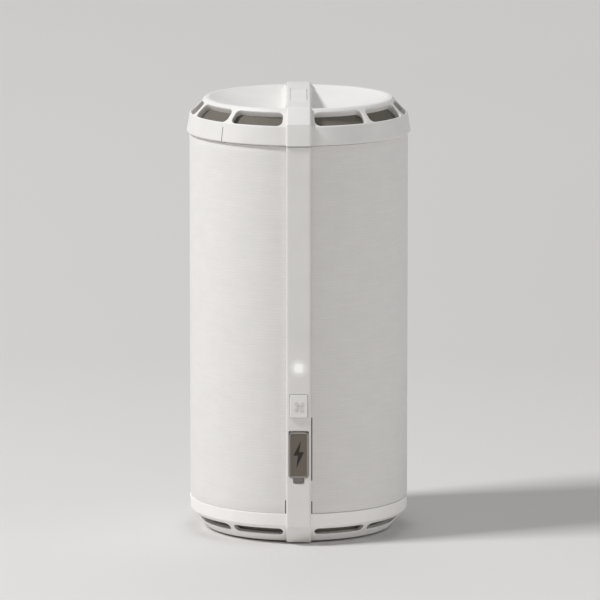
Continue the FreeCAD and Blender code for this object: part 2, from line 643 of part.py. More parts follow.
def make_board():
    board = box("board_blank", ("-dims.board_half", "-dims.board_y", "dims.board_low"),
                ("2 * dims.board_half", "dims.board_wall", "dims.board_top - dims.board_low"))
    node(board, "main_board")
    low = size("board_low") + 2
    height = size("board_top") - size("board_low") - 4
    bore = Part.makeCylinder(size("shell_bore") - 0.03, height, Vector(0, 0, low))
    rails = []
    for x in (-9.4, 7.9):
        blank = Part.makeBox(1.5, 5.0, height, Vector(x, -size("board_y") - 5.0, low))
        rails.append(blank.common(bore))
    node(shaped("rail_pair", Part.makeCompound(rails)), "board_rails")
    face = -size("board_y") + size("board_wall")
    chips = [
        Part.makeBox(5, 1.0, 5, Vector(-6.5, face, 48)),
        Part.makeBox(4, 0.9, 4, Vector(2, face, 50)),
        Part.makeBox(6, 2.6, 6, Vector(-7, face, 27)),
        Part.makeBox(2, 0.8, 1.25, Vector(3, face, 29)),
        Part.makeBox(2, 0.8, 1.25, Vector(3, face, 33)),
        Part.makeBox(2, 0.8, 1.25, Vector(3, face, 37)),
        Part.makeCylinder(2.4, 4.5, Vector(4, face, 42), BACK),
    ]
    node(shaped("chip_set", Part.makeCompound(chips)), "board_chips")
    plugs = [
        Part.makeBox(7.0, 3.2, 5.0, Vector(-3.5, face, 59.5)),
        Part.makeBox(4.6, 2.6, 4.0, Vector(2.8, -size("board_y") - 2.6, 72.5)),
    ]
    node(shaped("plug_set", Part.makeCompound(plugs)), "board_connectors")


def cell_places():
    return [point_at(size("cell_pitch_r"), azimuth) + BACK * size("pack_y") for azimuth in (60, 180, 300)]


def make_battery():
    cells = []
    pockets = []
    for place in cell_places():
        low = place + UP * size("cell_low")
        can = Part.makeCylinder(size("cell_r"), size("cell_len") - 1.2, low)
        tip = Part.makeCylinder(3.2, 1.2, low + UP * (size("cell_len") - 1.2))
        can = round_edges(can, 0.8, lambda e: e.Curve.TypeId == "Part::GeomCircle")
        cells.append(can.fuse(tip))
        pockets.append(Part.makeCylinder(size("cell_r") + 0.15, size("cell_len") + 1.0, low - UP * 0.5))
    node(shaped("cell_set", Part.makeCompound(cells)), "battery_cells")
    well = shaped("cell_wells", Part.makeCompound(pockets))
    ties = []
    bolts = []
    for azimuth in (0, 120, 240):
        place = point_at(size("tie_r"), azimuth, size("plate_top")) + BACK * size("pack_y")
        ties.append(Part.makeCylinder(1.15, 80, place))
        bolts.append(screw_shape(place + UP * 74.2, 2.2, 1.1, 73.8, -UP))
    tie_holes = shaped("tie_holes", Part.makeCompound(ties))
    low_block = rod("tray_blank", ("0", "dims.pack_y", "dims.plate_top + 0.02"), "dims.pack_r", "10.5")
    high_block = rod("cap_blank", ("0", "dims.pack_y", "dims.cell_low + dims.cell_len - 5"),
                     "dims.pack_r", "8.8")
    node(cut("tray_cut", low_block, (well, tie_holes)), "battery_tray")
    node(cut("cap_cut", high_block, (well, tie_holes)), "battery_cap")
    node(shaped("tie_set", Part.makeCompound(bolts)), "battery_bolts")
    tabs = []
    for place in cell_places():
        tabs.append(Part.makeCylinder(5.0, 0.25, place + UP * (size("cell_low") - 0.3)))
        tabs.append(Part.makeCylinder(5.0, 0.25, place + UP * (size("cell_low") + size("cell_len") + 0.05)))
    node(shaped("tab_set", Part.makeCompound(tabs)), "battery_contacts")
    front = size("pack_y") - size("pack_r")
    board = -size("board_y") + size("board_wall") + 3.2
    leads = []
    for x in (-1.2, 1.2):
        route = ((x, front - 0.02, 73), (x, front - 6.5, 73), (x, front - 6.5, 62), (x, board + 0.02, 62))
        leads.append(lead_shape(route, 0.55, 5.0))
    node(shaped("battery_wires", Part.makeCompound(leads)), "battery_leads")


# ---------------------------------------------------------------- fan


def make_fan_frame():
    tube = ring("frame_tube", "dims.fan_bore", "dims.fan_bore + dims.fan_wall", "dims.fan_low", "dims.fan_top")
    flange = ring("frame_flange", "dims.fan_bore + dims.fan_wall - 0.2", "dims.flange_r", "dims.fan_top - 2",
                  "dims.fan_top")
    hub = ring("frame_hub", "dims.bearing_r", "dims.hub_r", "dims.fan_top - 2", "dims.fan_top")
    barrel = ring("frame_barrel", "dims.bearing_r", "dims.bearing_r + 1", "dims.fan_top - 13.6",
                  "dims.fan_top - 1.5")
    vane = Part.makeBox(size("fan_bore") - size("hub_r") + 1.4, 1.4, 4.6, Vector(size("hub_r") - 0.7, -0.7, 0))
    vane.rotate(Vector(0, 0, 2.3), ACROSS, 24)
    vane.translate(UP * (size("fan_top") - 4.9))
    count = int(size("vanes"))
    vanes = shaped("frame_vanes", Part.makeCompound([around(vane, 270 + 360 * i / count) for i in range(count)]))
    whole = fuse("frame_whole", (tube, flange, hub, barrel, vanes))
    notch = box("frame_notch", ("2.6", "-43", "dims.fan_top - 4"), ("5", "8.6", "5"))
    holes = [Part.makeCylinder(0.85, 4, point_at(40.7, azimuth, size("fan_top") - 3)) for azimuth in CORNER_SCREWS]
    node(cut("frame_finished", whole, (notch, shaped("frame_holes", Part.makeCompound(holes)))), "fan_frame")
    seal = ring("seal_blank", "dims.shelf_bore + 0.4", "dims.flange_r - 0.2", "dims.fan_top", "dims.shelf_z")
    gaps = shaped("seal_gaps", Part.makeCompound(
        [Part.makeCylinder(0.85, 4, point_at(40.7, azimuth, size("fan_top") - 1)) for azimuth in CORNER_SCREWS]))
    node(cut("seal_finished", seal, (gaps,)), "fan_seal")
    screws = [screw_shape(point_at(40.7, azimuth, size("fan_top") - 2), 1.25, 0.75, 4.4, UP)
              for azimuth in CORNER_SCREWS]
    node(shaped("fan_fixings", Part.makeCompound(screws)), "fan_screws")


def blade_shape():
    """One impeller blade: a bowed, pitched plate from the hub out past the tip radius."""
    half = 5.8
    edges = [
        Part.Arc(Vector(0, -half, 0), Vector(0, 0, 1.6), Vector(0, half, 0)).toShape(),
        Part.LineSegment(Vector(0, half, 0), Vector(0, half, -1)).toShape(),
        Part.Arc(Vector(0, half, -1), Vector(0, 0, 0.6), Vector(0, -half, -1)).toShape(),
        Part.LineSegment(Vector(0, -half, -1), Vector(0, -half, 0)).toShape(),
    ]
    blade = Part.Face(Part.Wire(edges)).extrude(ACROSS * size("blade_tip_r"))
    blade.rotate(Vector(0, 0, 0), ACROSS, 38)
    blade.translate(UP * 87.0)
    return blade


def make_impeller():
    cup = turned("impeller_cup", (
        ("dims.shaft_r", "dims.fan_low + 1"),
        ("dims.hub_r - 1.5", "dims.fan_low + 1"),
        ("dims.hub_r", "dims.fan_low + 2.5"),
        ("dims.hub_r", "dims.fan_low + 11.8"),
        ("dims.hub_r - 1.4", "dims.fan_low + 11.8"),
        ("dims.hub_r - 1.4", "dims.fan_low + 2.6"),
        ("3.2", "dims.fan_low + 2.6"),
        ("3.2", "dims.fan_low + 3.3"),
        ("dims.shaft_r", "dims.fan_low + 3.3"),
    ))
    sweep = Part.makeCylinder(size("blade_tip_r"), 30, Vector(0, 0, 75))
    sweep = sweep.cut(Part.makeCylinder(size("hub_r") - 0.6, 30, Vector(0, 0, 75)))
    blade = blade_shape().common(sweep)
    count = int(size("blades"))
    blades = shaped("impeller_blades", Part.makeCompound([around(blade, 360 * i / count) for i in range(count)]))
    node(fuse("impeller_whole", (cup, blades)), "impeller")
    magnet = ring("rotor_magnet", "dims.hub_r - 2.5", "dims.hub_r - 1.42", "dims.fan_low + 3", "dims.fan_low + 11.4")
    node(magnet, "rotor_magnet_ring")
    node(rod("shaft_rod", ("0", "0", "dims.fan_low + 1.6"), "dims.shaft_r", "dims.fan_top - dims.fan_low - 3.4"),
         "fan_shaft")


def make_motor():
    poles = 9
    yoke = Part.makeCylinder(8.0, 6, Vector(0, 0, 84.8))
    arms = []
    coils = []
    for i in range(poles):
        arm = Part.makeBox(4.2, 1.6, 6, Vector(7.4, -0.8, 84.8))
        shoe = swept_sector(((10.9, 84.8), (11.9, 84.8), (11.9, 90.8), (10.9, 90.8)), 90 - 15, 30)
        arms.append(around(arm.fuse(shoe), 360 * i / poles))
        coil = Part.makeBox(2.6, 3.2, 7.2, Vector(8.1, -1.6, 84.2))
        coil = coil.cut(Part.makeBox(4, 1.7, 6.1, Vector(7.5, -0.85, 84.75)))
        coils.append(around(coil, 360 * i / poles))
    bore = Part.makeCylinder(size("bearing_r") + 1.02, 8, Vector(0, 0, 84))
    core = yoke.multiFuse(arms).cut(bore).removeSplitter()
    node(shaped("core_stack", core), "stator_core")
    node(shaped("coil_set", Part.makeCompound(coils)), "stator_coils")
    bearings = []
    for low in (84.0, 91.4):
        outer = Part.makeCylinder(size("bearing_r") - 0.02, 2.4, Vector(0, 0, low))
        bearings.append(outer.cut(Part.makeCylinder(size("shaft_r") + 0.03, 2.4, Vector(0, 0, low))))
    node(shaped("bearing_pair", Part.makeCompound(bearings)), "fan_bearings")
    node(ring("motor_board_disc", "dims.bearing_r + 1.05", "dims.hub_r - 1.9", "dims.fan_top - 3.2",
              "dims.fan_top - 2.2"), "motor_board")
    wires = [lead_shape(((x, -9.0, 97.75), (x, -38.2, 97.75), (x, -38.2, 76.52)), 0.5, 2.6) for x in (4.3, 5.9)]
    node(shaped("motor_wires", Part.makeCompound(wires)), "motor_leads")


# ---------------------------------------------------------------- filter


def zigzag(peak, valley):
    count = int(size("pleats"))
    points = []
    for i in range(count):
        points.append(point_at(peak, 360 * i / count))
        points.append(point_at(valley, 360 * (i + 0.5) / count))
    return face_of(points)


def make_filter():
    height = size("filter_top") - size("filter_low")
    outer = zigzag(size("filter_r"), size("filter_core_r") + 1.7).extrude(UP * height)
    inner = zigzag(size("filter_r") - 1.7, size("filter_core_r") + 0.1).extrude(UP * height)
    media = outer.cut(inner)
    media.translate(UP * size("filter_low"))
    node(shaped("pleat_pack", media), "filter_pleats")
    node(ring("core_tube", "dims.filter_core_r - 2.3", "dims.filter_core_r", "dims.filter_low", "dims.filter_top"),
         "carbon_core")
    node(ring("mesh_tube", "dims.filter_r + 0.1", "dims.filter_r + 0.6", "dims.filter_low", "dims.filter_top"),
         "filter_mesh")
    node(turned("top_cap_body", (
        ("dims.filter_core_r - 2.8", "dims.filter_top"),
        ("dims.filter_r + 1.2", "dims.filter_top"),
        ("dims.filter_r + 1.2", "dims.ledge_z + 1"),
        ("dims.flange_out_r", "dims.ledge_z + 1"),
        ("dims.flange_out_r", "dims.ledge_z + 2.4"),
        ("dims.filter_core_r - 2.8", "dims.ledge_z + 2.4"),
    )), "filter_top_cap")
    node(rod("bottom_cap_disc", ("0", "0", "dims.filter_low - 3.6"), "dims.filter_r + 1.2", "3.6"),
         "filter_bottom_cap")
    node(ring("gasket_ring", "dims.ledge_bore + 0.1", "dims.flange_out_r", "dims.ledge_z", "dims.ledge_z + 1"),
         "filter_gasket")
    seat = size("ledge_z") + 2.4
    profile = ((-27, 0), (-21, 0), (-15, 2), (15, 2), (21, 0), (27, 0),
               (27, 1.2), (21.4, 1.2), (15.3, 3.2), (-15.3, 3.2), (-21.4, 1.2), (-27, 1.2))
    strap = face_of([Vector(x, -4, seat + z) for x, z in profile]).extrude(BACK * 8)
    node(shaped("handle_strap", strap), "filter_handle")


# ---------------------------------------------------------------- lid


BOWL_FLAT_R = 3.0


def bowl_arc(wall=0.0):
    """The round hollow in the lid, from its rim to a small flat at the axis, or its underside."""
    rim = size("bowl_r")
    depth = size("bowl_depth")
    ball = (rim * rim + depth * depth) / (2 * depth)
    centre = size("lid_top") - depth + ball
    reach = ball + wall

    def at(radius):
        return Vector(radius, 0, centre - math.sqrt(reach * reach - radius * radius))

    return Part.Arc(at(rim), at(rim / 2), at(BOWL_FLAT_R))


def revolved(edges):
    return Part.Face(Part.Wire([edge.toShape() for edge in edges])).revolve(Vector(0, 0, 0), UP, 360)


def dish_shape():
    """The dished insert in the top of the lid."""
    wall = size("bowl_wall")
    top = bowl_arc()
    under = bowl_arc(wall)
    outer_high = Vector(size("dish_r"), 0, size("lid_top"))
    outer_low = Vector(size("dish_r"), 0, under.StartPoint.z)
    centre_top = Vector(0, 0, top.EndPoint.z)
    centre_under = Vector(0, 0, under.EndPoint.z)
    return revolved((
        top,
        Part.LineSegment(top.EndPoint, centre_top),
        Part.LineSegment(centre_top, centre_under),
        Part.LineSegment(centre_under, under.EndPoint),
        under,
        Part.LineSegment(under.StartPoint, outer_low),
        Part.LineSegment(outer_low, outer_high),
        Part.LineSegment(outer_high, top.StartPoint),
    ))


def below_band_shape():
    """Everything under the lid's upper surface, out past its lower edge."""
    top = bowl_arc()
    low = size("lid_low") - 1
    corners = (
        Vector(0, 0, low),
        Vector(size("lid_r") + 0.2, 0, low),
        Vector(size("lid_bend_r") + 0.02, 0, size("lid_bend_z")),
        Vector(size("lid_rim_r") + 0.02, 0, size("lid_rim_z")),
        Vector(size("lid_rim_r") - 0.88, 0, size("lid_top")),
        top.StartPoint,
    )
    lines = [Part.LineSegment(a, b) for a, b in zip(corners, corners[1:])]
    centre = Vector(0, 0, top.EndPoint.z)
    return revolved((Part.LineSegment(top.EndPoint, centre), Part.LineSegment(centre, corners[0]), *lines, top))


def make_lid_grille():
    blank = turned("grille_blank", (
        ("dims.lid_r", "dims.lid_low"),
        ("dims.lid_bend_r", "dims.lid_bend_z"),
        ("dims.lid_rim_r", "dims.lid_rim_z"),
        ("dims.lid_rim_r - 0.9", "dims.lid_top"),
        ("dims.dish_r", "dims.lid_top"),
        ("dims.dish_r", "dims.lid_top - dims.bowl_wall"),
        ("dims.lid_bend_r - 2", "dims.lid_bend_z - 1.7"),
        ("dims.neck_bore + 0.4", "dims.lid_bend_z - 1.8"),
        ("dims.neck_bore + 0.4", "dims.neck_top + 0.2"),
        ("dims.lid_r - 2.3", "dims.neck_top + 0.2"),
        ("dims.lid_r - 2", "dims.lid_low"),
    ))
    slope = Vector(size("lid_rim_r") - size("lid_bend_r"), size("lid_rim_z") - size("lid_bend_z"), 0)
    slope.normalize()
    edge = Vector(size("lid_bend_r"), size("lid_bend_z"), 0)
    low = edge + slope * size("lid_slot_low")
    high = edge + slope * size("lid_slot_high")
    openings = slots("lid_slots", low, high, 1.3 * size("lid_wall"))
    pockets = []
    magnets = []
    for azimuth in CORNER_SCREWS:
        place = point_at(MAGNET_CIRCLE, azimuth, size("neck_top") + 0.2)
        pockets.append(Part.makeCylinder(MAGNET_R, 1.3, place))
        magnets.append(Part.makeCylinder(MAGNET_R, 1.2, place + UP * 0.05))
    slit = Part.makeBox(0.35, 4, 1.3 + size("lid_bend_z") - 1.6 - size("lid_low") - 2.6,
                        Vector(-0.17, -48, size("lid_low") - 0.1))
    marks = shaped("collar_slit", around(slit, -43))
    node(cut("grille_finished", blank, (openings, shaped("lid_pockets", Part.makeCompound(pockets)), marks)),
         "lid_grille")
    node(shaped("lid_magnet_set", Part.makeCompound(magnets)), "lid_magnets")
    node(turned("lid_screen_body", (
        ("dims.lid_bend_r - 2.7", "dims.lid_bend_z - 1.15"),
        ("dims.dish_r + 0.8", "dims.lid_top - 3.3"),
        ("dims.dish_r + 0.45", "dims.lid_top - 3.65"),
        ("dims.lid_bend_r - 3.05", "dims.lid_bend_z - 1.5"),
    )), "lid_screen")


def band_half(name):
    return padded(name, (
        ("0", "dims.lid_low"),
        ("dims.band_end_y", "dims.lid_low"),
        ("dims.band_bend_y", "dims.band_bend_z"),
        ("dims.band_flat_y", "dims.band_top"),
        ("0", "dims.band_top"),
    ), "dims.band_w / 2", "dims.band_edge", lambda p: p.y < 1 or p.z < size("lid_low") + 1)


def make_lid_top():
    dish = shaped("dish_insert", dish_shape())
    beam = fuse("band_beam", (band_half("band_rear"), face_front(band_half("band_front"))))
    below = shaped("lid_below", below_band_shape())
    recess = Part.makeBox(size("pad_w"), size("pad_len"), 2.0,
                          Vector(-size("pad_w") / 2, -size("pad_len") / 2, size("band_top") - 0.8))
    recess = round_edges(recess, 1.2, lambda e: abs(e.tangentAt(e.FirstParameter).z) > 0.9)
    pad = Part.makeBox(size("pad_w") - 0.2, size("pad_len") - 0.2, 0.75,
                       Vector(-size("pad_w") / 2 + 0.1, -size("pad_len") / 2 + 0.1, size("band_top") - 0.78))
    pad = round_edges(pad, 1.1, lambda e: abs(e.tangentAt(e.FirstParameter).z) > 0.9)
    bores = []
    screws = []
    for y in (-26.0, 26.0):
        bores.append(Part.makeCylinder(0.8, 5.0, Vector(0, y, 172)))
        screws.append(screw_shape(Vector(0, y, 172.45), 1.6, 0.75, 4.2, UP))
    for y in (-26.0, 26.0):
        bores.append(Part.makeCylinder(1.7, 3.0, Vector(0, y, 169.45)))
    tool = shaped("band_bores", Part.makeCompound(bores))
    dish = cut("dish_drilled", dish, (tool,))
    banded = cut("band_finished", beam, (below, shaped("pad_recess", recess), tool))
    node(dish, "lid_dish")
    node(banded, "lid_band")
    node(shaped("pad_block", pad), "grip_pad")
    node(shaped("band_fixings", Part.makeCompound(screws)), "lid_screws")


# ---------------------------------------------------------------- build and write

make_lower_ring()
make_base()
make_shell()
make_fabric()
make_neck()
make_spines()
make_button()
make_socket_cover()
make_socket()
make_board()
make_battery()
make_fan_frame()
make_impeller()
make_motor()
make_filter()
make_lid_grille()
make_lid_top()

doc.recompute()

for thing in doc.Objects:
    if "Invalid" in thing.State or "Error" in thing.State:
        raise RuntimeError(f"{thing.Name} did not build: {thing.State}")

os.makedirs("parts", exist_ok=True)
for thing in nodes:
    shape = thing.Shape
    if shape.isNull() or not shape.isValid() or shape.Volume < 0.01:
        raise RuntimeError(f"{thing.Label} has no sound shape")
    shape.exportStep(f"parts/{thing.Label}.step")
print(len(nodes), "sub-parts written")
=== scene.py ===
import json
import math

import bmesh
import bpy
from mathutils import Matrix, Vector

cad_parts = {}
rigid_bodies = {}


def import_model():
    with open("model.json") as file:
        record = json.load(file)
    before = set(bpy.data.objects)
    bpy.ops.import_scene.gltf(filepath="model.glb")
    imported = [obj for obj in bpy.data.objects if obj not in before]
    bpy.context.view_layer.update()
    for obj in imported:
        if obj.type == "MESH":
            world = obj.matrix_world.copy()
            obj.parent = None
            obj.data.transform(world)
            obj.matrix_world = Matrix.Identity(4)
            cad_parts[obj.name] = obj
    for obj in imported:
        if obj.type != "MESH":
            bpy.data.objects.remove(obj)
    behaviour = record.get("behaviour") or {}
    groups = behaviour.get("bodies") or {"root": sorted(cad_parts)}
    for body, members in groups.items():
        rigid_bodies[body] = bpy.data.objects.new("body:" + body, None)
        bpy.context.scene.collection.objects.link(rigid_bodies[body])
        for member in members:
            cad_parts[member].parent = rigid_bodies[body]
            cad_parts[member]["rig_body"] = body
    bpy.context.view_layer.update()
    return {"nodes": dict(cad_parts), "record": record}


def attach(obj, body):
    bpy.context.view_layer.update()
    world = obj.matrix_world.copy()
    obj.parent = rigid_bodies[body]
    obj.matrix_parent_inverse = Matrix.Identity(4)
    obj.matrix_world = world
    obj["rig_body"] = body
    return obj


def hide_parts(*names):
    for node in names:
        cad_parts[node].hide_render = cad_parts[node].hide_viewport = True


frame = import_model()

MM = 0.001
scene = bpy.context.scene

# Places that several pieces share, in millimetres: radii are from the object's axis, the front is -Y.
BODY_R = 45.0
STRAP_Y = -47.0
LAMP_Z = 74.2
SOCKET_Z = 38.0
FLAP_HALF_W = 3.98
FLAP_HALF_H = 9.4
FLAP_Z = 38.23
LAMP_PLACE = (0.0, STRAP_Y * MM, LAMP_Z * MM)


# ---------------------------------------------------------------- colours and materials


def linear(r, g, b):
    """A linear colour from 0-255 sRGB values."""
    def channel(v):
        v = v / 255
        return v / 12.92 if v <= 0.04045 else ((v + 0.055) / 1.055) ** 2.4
    return (channel(r), channel(g), channel(b), 1.0)


class Shade:
    """A material's node tree with short names for the nodes it uses."""

    def __init__(self, name):
        self.material = bpy.data.materials.new(name)
        self.material.use_nodes = True
        self.nodes = self.material.node_tree.nodes
        self.links = self.material.node_tree.links
        self.main = self.nodes["Principled BSDF"]

    def add(self, kind, **values):
        made = self.nodes.new(kind)
        for key, value in values.items():
            if key in made.inputs:
                made.inputs[key].default_value = value
            else:
                setattr(made, key, value)
        return made

    def link(self, out, into):
        self.links.new(out, into)

    def math(self, operation, first, second=None):
        made = self.add("ShaderNodeMath", operation=operation)
        for socket, value in zip(made.inputs, (first, second)):
            if value is None:
                continue
            if isinstance(value, (int, float)):
                socket.default_value = value
            else:
                self.link(value, socket)
        return made.outputs[0]

    def product(self, first, second):
        mix = self.add("ShaderNodeMix", data_type="RGBA", blend_type="MULTIPLY")
        mix.inputs[0].default_value = 1.0
        self.link(first, mix.inputs[6])
        self.link(second, mix.inputs[7])
        return mix.outputs[2]

    def coordinates(self):
        return self.add("ShaderNodeTexCoord").outputs["Object"]

    def axes(self):
        """The shaded point's X, Y and Z, in metres."""
        split = self.add("ShaderNodeSeparateXYZ")
        self.link(self.coordinates(), split.inputs[0])
        return split.outputs

    def between(self, value, low, high):
        """1 where a value lies between two limits, else 0."""
        past_low = self.math("GREATER_THAN", value, low)
        return self.math("MULTIPLY", past_low, self.math("LESS_THAN", value, high))

    def noise(self, scale, detail=3.0, where=None):
        made = self.add("ShaderNodeTexNoise", Scale=scale, Detail=detail)
        self.link(where or self.coordinates(), made.inputs["Vector"])
        return made.outputs["Fac"]

    def ramp(self, source, low, high, start=0.3, end=0.7):
        made = self.add("ShaderNodeValToRGB")
        made.color_ramp.elements[0].position = start
        made.color_ramp.elements[0].color = low
        made.color_ramp.elements[1].position = end
        made.color_ramp.elements[1].color = high
        self.link(source, made.inputs["Fac"])
        return made.outputs["Color"]

    def fall(self, centre, near, far, inside, outside):
        """A value that goes smoothly from inside to outside between two distances from a point."""
        offset = self.add("ShaderNodeVectorMath", operation="SUBTRACT")
        offset.inputs[1].default_value = centre
        self.link(self.coordinates(), offset.inputs[0])
        length = self.add("ShaderNodeVectorMath", operation="LENGTH")
        self.link(offset.outputs[0], length.inputs[0])
        made = self.add("ShaderNodeMapRange", interpolation_type="SMOOTHSTEP")
        for key, value in (("From Min", near), ("From Max", far), ("To Min", inside), ("To Max", outside)):
            made.inputs[key].default_value = value
        self.link(length.outputs["Value"], made.inputs["Value"])
        return made.outputs["Result"]

    def over(self, mask, colour):
        """Lays a colour over the base colour where the mask is white."""
        mix = self.add("ShaderNodeMix", data_type="RGBA")
        self.link(mask, mix.inputs[0])
        self.link(self.main.inputs["Base Color"].links[0].from_socket, mix.inputs[6])
        mix.inputs[7].default_value = colour
        self.link(mix.outputs[2], self.main.inputs["Base Color"])

    def bump(self, height, strength, distance, onto=None):
        made = self.add("ShaderNodeBump", Strength=strength, Distance=distance)
        self.link(height, made.inputs["Height"])
        if onto is not None:
            self.link(onto, made.inputs["Normal"])
        return made.outputs["Normal"]


def scaled(colour, factor):
    return (colour[0] * factor, colour[1] * factor, colour[2] * factor, 1.0)


def grey(value):
    return (value, value, value, 1.0)


def plain_material(name, colour, rough, metal=0.0, grain_strength=0.05, coat=0.0):
    """A solid finish with slight changes of colour and roughness and a fine moulded grain."""
    colour_spread = 0.03
    rough_spread = 0.04
    grain_depth = 0.00006
    shade = Shade(name)
    tones = (scaled(colour, 1 - colour_spread), scaled(colour, 1 + colour_spread))
    shade.link(shade.ramp(shade.noise(60.0, 2.0), *tones), shade.main.inputs["Base Color"])
    gloss = (grey(rough - rough_spread), grey(rough + rough_spread))
    shade.link(shade.ramp(shade.noise(260.0, 3.0), *gloss), shade.main.inputs["Roughness"])
    shade.main.inputs["Metallic"].default_value = metal
    shade.main.inputs["Coat Weight"].default_value = coat
    grain = shade.noise(3600.0, 4.0)
    shade.link(shade.bump(grain, grain_strength, grain_depth), shade.main.inputs["Normal"])
    return shade


WHITE = linear(236, 234, 232)


def shell_white():
    """White moulded plastic, with the one fine seam that crosses the lid's collar left of the front."""
    shade = plain_material("white_shell", WHITE, 0.5)
    seam_azimuth = math.radians(-43.0)
    half_seam = 0.0038
    collar = (0.1640, 0.1715)
    axes = shade.axes()
    azimuth = shade.math("ARCTAN2", axes["X"], shade.math("MULTIPLY", axes["Y"], -1.0))
    off = shade.math("ABSOLUTE", shade.math("SUBTRACT", azimuth, seam_azimuth))
    near = shade.math("LESS_THAN", off, half_seam)
    shade.over(shade.math("MULTIPLY", near, shade.between(axes["Z"], *collar)), linear(120, 117, 114))
    return shade.material


def spine_white():
    """The spine's white plastic, which glows softly round the indicator."""
    shade = plain_material("white_satin", WHITE, 0.45)
    fall = shade.fall(LAMP_PLACE, 0.0016, 0.0046, 0.14, 0.0)
    shade.main.inputs["Emission Color"].default_value = (1.0, 0.99, 0.97, 1.0)
    shade.link(fall, shade.main.inputs["Emission Strength"])
    return shade.material


def woven_material():
    """The cover: fine horizontal yarns with broken raised threads, laid out in millimetres on the cloth."""
    shade = Shade("woven_cover")
    plane = shade.add("ShaderNodeUVMap", uv_map="cloth_mm").outputs["UV"]
    threads = shade.add("ShaderNodeTexBrick", offset=0.37, squash=1.0)
    for key, value in (("Scale", 1.0), ("Mortar Size", 0.10), ("Mortar Smooth", 0.6), ("Brick Width", 7.4),
                       ("Row Height", 1.22), ("Bias", 0.0)):
        threads.inputs[key].default_value = value
    for key, value in (("Color1", 0.75), ("Color2", 1), ("Mortar", 0)):
        threads.inputs[key].default_value = grey(value)
    wander = shade.add("ShaderNodeTexNoise", Scale=0.35, Detail=2.0)
    shade.link(plane, wander.inputs["Vector"])
    shift = shade.add("ShaderNodeVectorMath", operation="MULTIPLY_ADD")
    shift.inputs[1].default_value = (1.4, 0.16, 0.0)
    shade.link(wander.outputs["Color"], shift.inputs[0])
    shade.link(plane, shift.inputs[2])
    shade.link(shift.outputs[0], threads.inputs["Vector"])
    weave = shade.add("ShaderNodeTexWave", wave_type="BANDS", bands_direction="X", Scale=0.62, Distortion=0.6)
    shade.link(plane, weave.inputs["Vector"])
    rows = shade.add("ShaderNodeTexWave", wave_type="BANDS", bands_direction="Y", Scale=0.62, Distortion=0.5)
    shade.link(plane, rows.inputs["Vector"])
    cells = shade.math("MULTIPLY", weave.outputs["Fac"], rows.outputs["Fac"])
    base = shade.ramp(shade.noise(0.12, 4.0, plane), linear(233, 231, 229), WHITE)
    gaps = shade.ramp(threads.outputs["Fac"], grey(1), grey(0.975), 0.0, 1.0)
    yarns = shade.ramp(threads.outputs["Color"], grey(0.988), grey(1.006), 0.78, 0.97)
    shade.link(shade.product(shade.product(base, gaps), yarns), shade.main.inputs["Base Color"])
    # Painted shadow: dark lines for the shaded gaps beside the front strap.
    painted_strap_gap_shade(shade)
    shade.main.inputs["Roughness"].default_value = 0.85
    shade.main.inputs["Sheen Weight"].default_value = 0.25
    shade.main.inputs["Sheen Roughness"].default_value = 0.4
    thread_relief = shade.bump(threads.outputs["Color"], 0.35, 0.00012)
    shade.link(shade.bump(cells, 0.3, 0.00008, thread_relief), shade.main.inputs["Normal"])
    return shade.material


def painted_strap_gap_shade(shade):
    """Painted shadow: dark lines on the cloth where it stands off the front strap, for the shade in that gap:
    the side, and the heights between.
    """
    from_middle = 0.00532
    half_width = 0.00026
    axes = shade.axes()
    front = shade.math("LESS_THAN", axes["Y"], 0.0)
    for side, low, high in ((1, 0.0095, 0.0185), (1, 0.0272, 0.0533), (-1, 0.0095, 0.0190)):
        off = shade.math("ABSOLUTE", shade.math("SUBTRACT", axes["X"], side * from_middle))
        beside = shade.math("MULTIPLY", front, shade.math("LESS_THAN", off, half_width))
        # The painted shadow's dark colour, laid on the cloth inside each line.
        shade.over(shade.math("MULTIPLY", beside, shade.between(axes["Z"], low, high)), linear(96, 93, 90))


def glow_material():
    """The lens: brightest in the middle, softer towards its edge."""
    shade = plain_material("lens_white", WHITE, 0.45)
    fall = shade.fall(LAMP_PLACE, 0.0010, 0.0030, 0.30, 0.12)
    shade.main.inputs["Emission Color"].default_value = (1.0, 0.995, 0.985, 1.0)
    shade.link(fall, shade.main.inputs["Emission Strength"])
    return shade.material


def flap_material():
    """Taupe rubber with a painted highlight: a paler rim all round the flap's front, where its rounded raised
    edge catches the light.
    """
    shade = plain_material("flap_taupe", linear(112, 104, 94), 0.62, grain_strength=0.1)
    axes = shade.axes()
    past_x = shade.math("SUBTRACT", shade.math("ABSOLUTE", axes["X"]), FLAP_HALF_W * MM)
    height = shade.math("ABSOLUTE", shade.math("SUBTRACT", axes["Z"], FLAP_Z * MM))
    past_z = shade.math("SUBTRACT", height, FLAP_HALF_H * MM)
    inset = shade.math("MULTIPLY", shade.math("MAXIMUM", past_x, past_z), 1 / MM)
    # Painted highlight: a paler band along the flap's raised rim.
    rim = shade.ramp(shade.math("ADD", inset, 1.0), grey(0), grey(1), 0.2, 0.62)
    shade.over(rim, linear(158, 154, 148))
    return shade.material


def mesh_material(name, colour, rough, scale, strength, depth):
    """A fine open mesh: the net over the pleats and the dark screens behind the slots."""
    shade = plain_material(name, colour, rough)
    holes = shade.add("ShaderNodeTexVoronoi", Scale=scale)
    shade.link(shade.coordinates(), holes.inputs["Vector"])
    shade.link(shade.bump(holes.outputs["Distance"], strength, depth), shade.main.inputs["Normal"])
    return shade.material


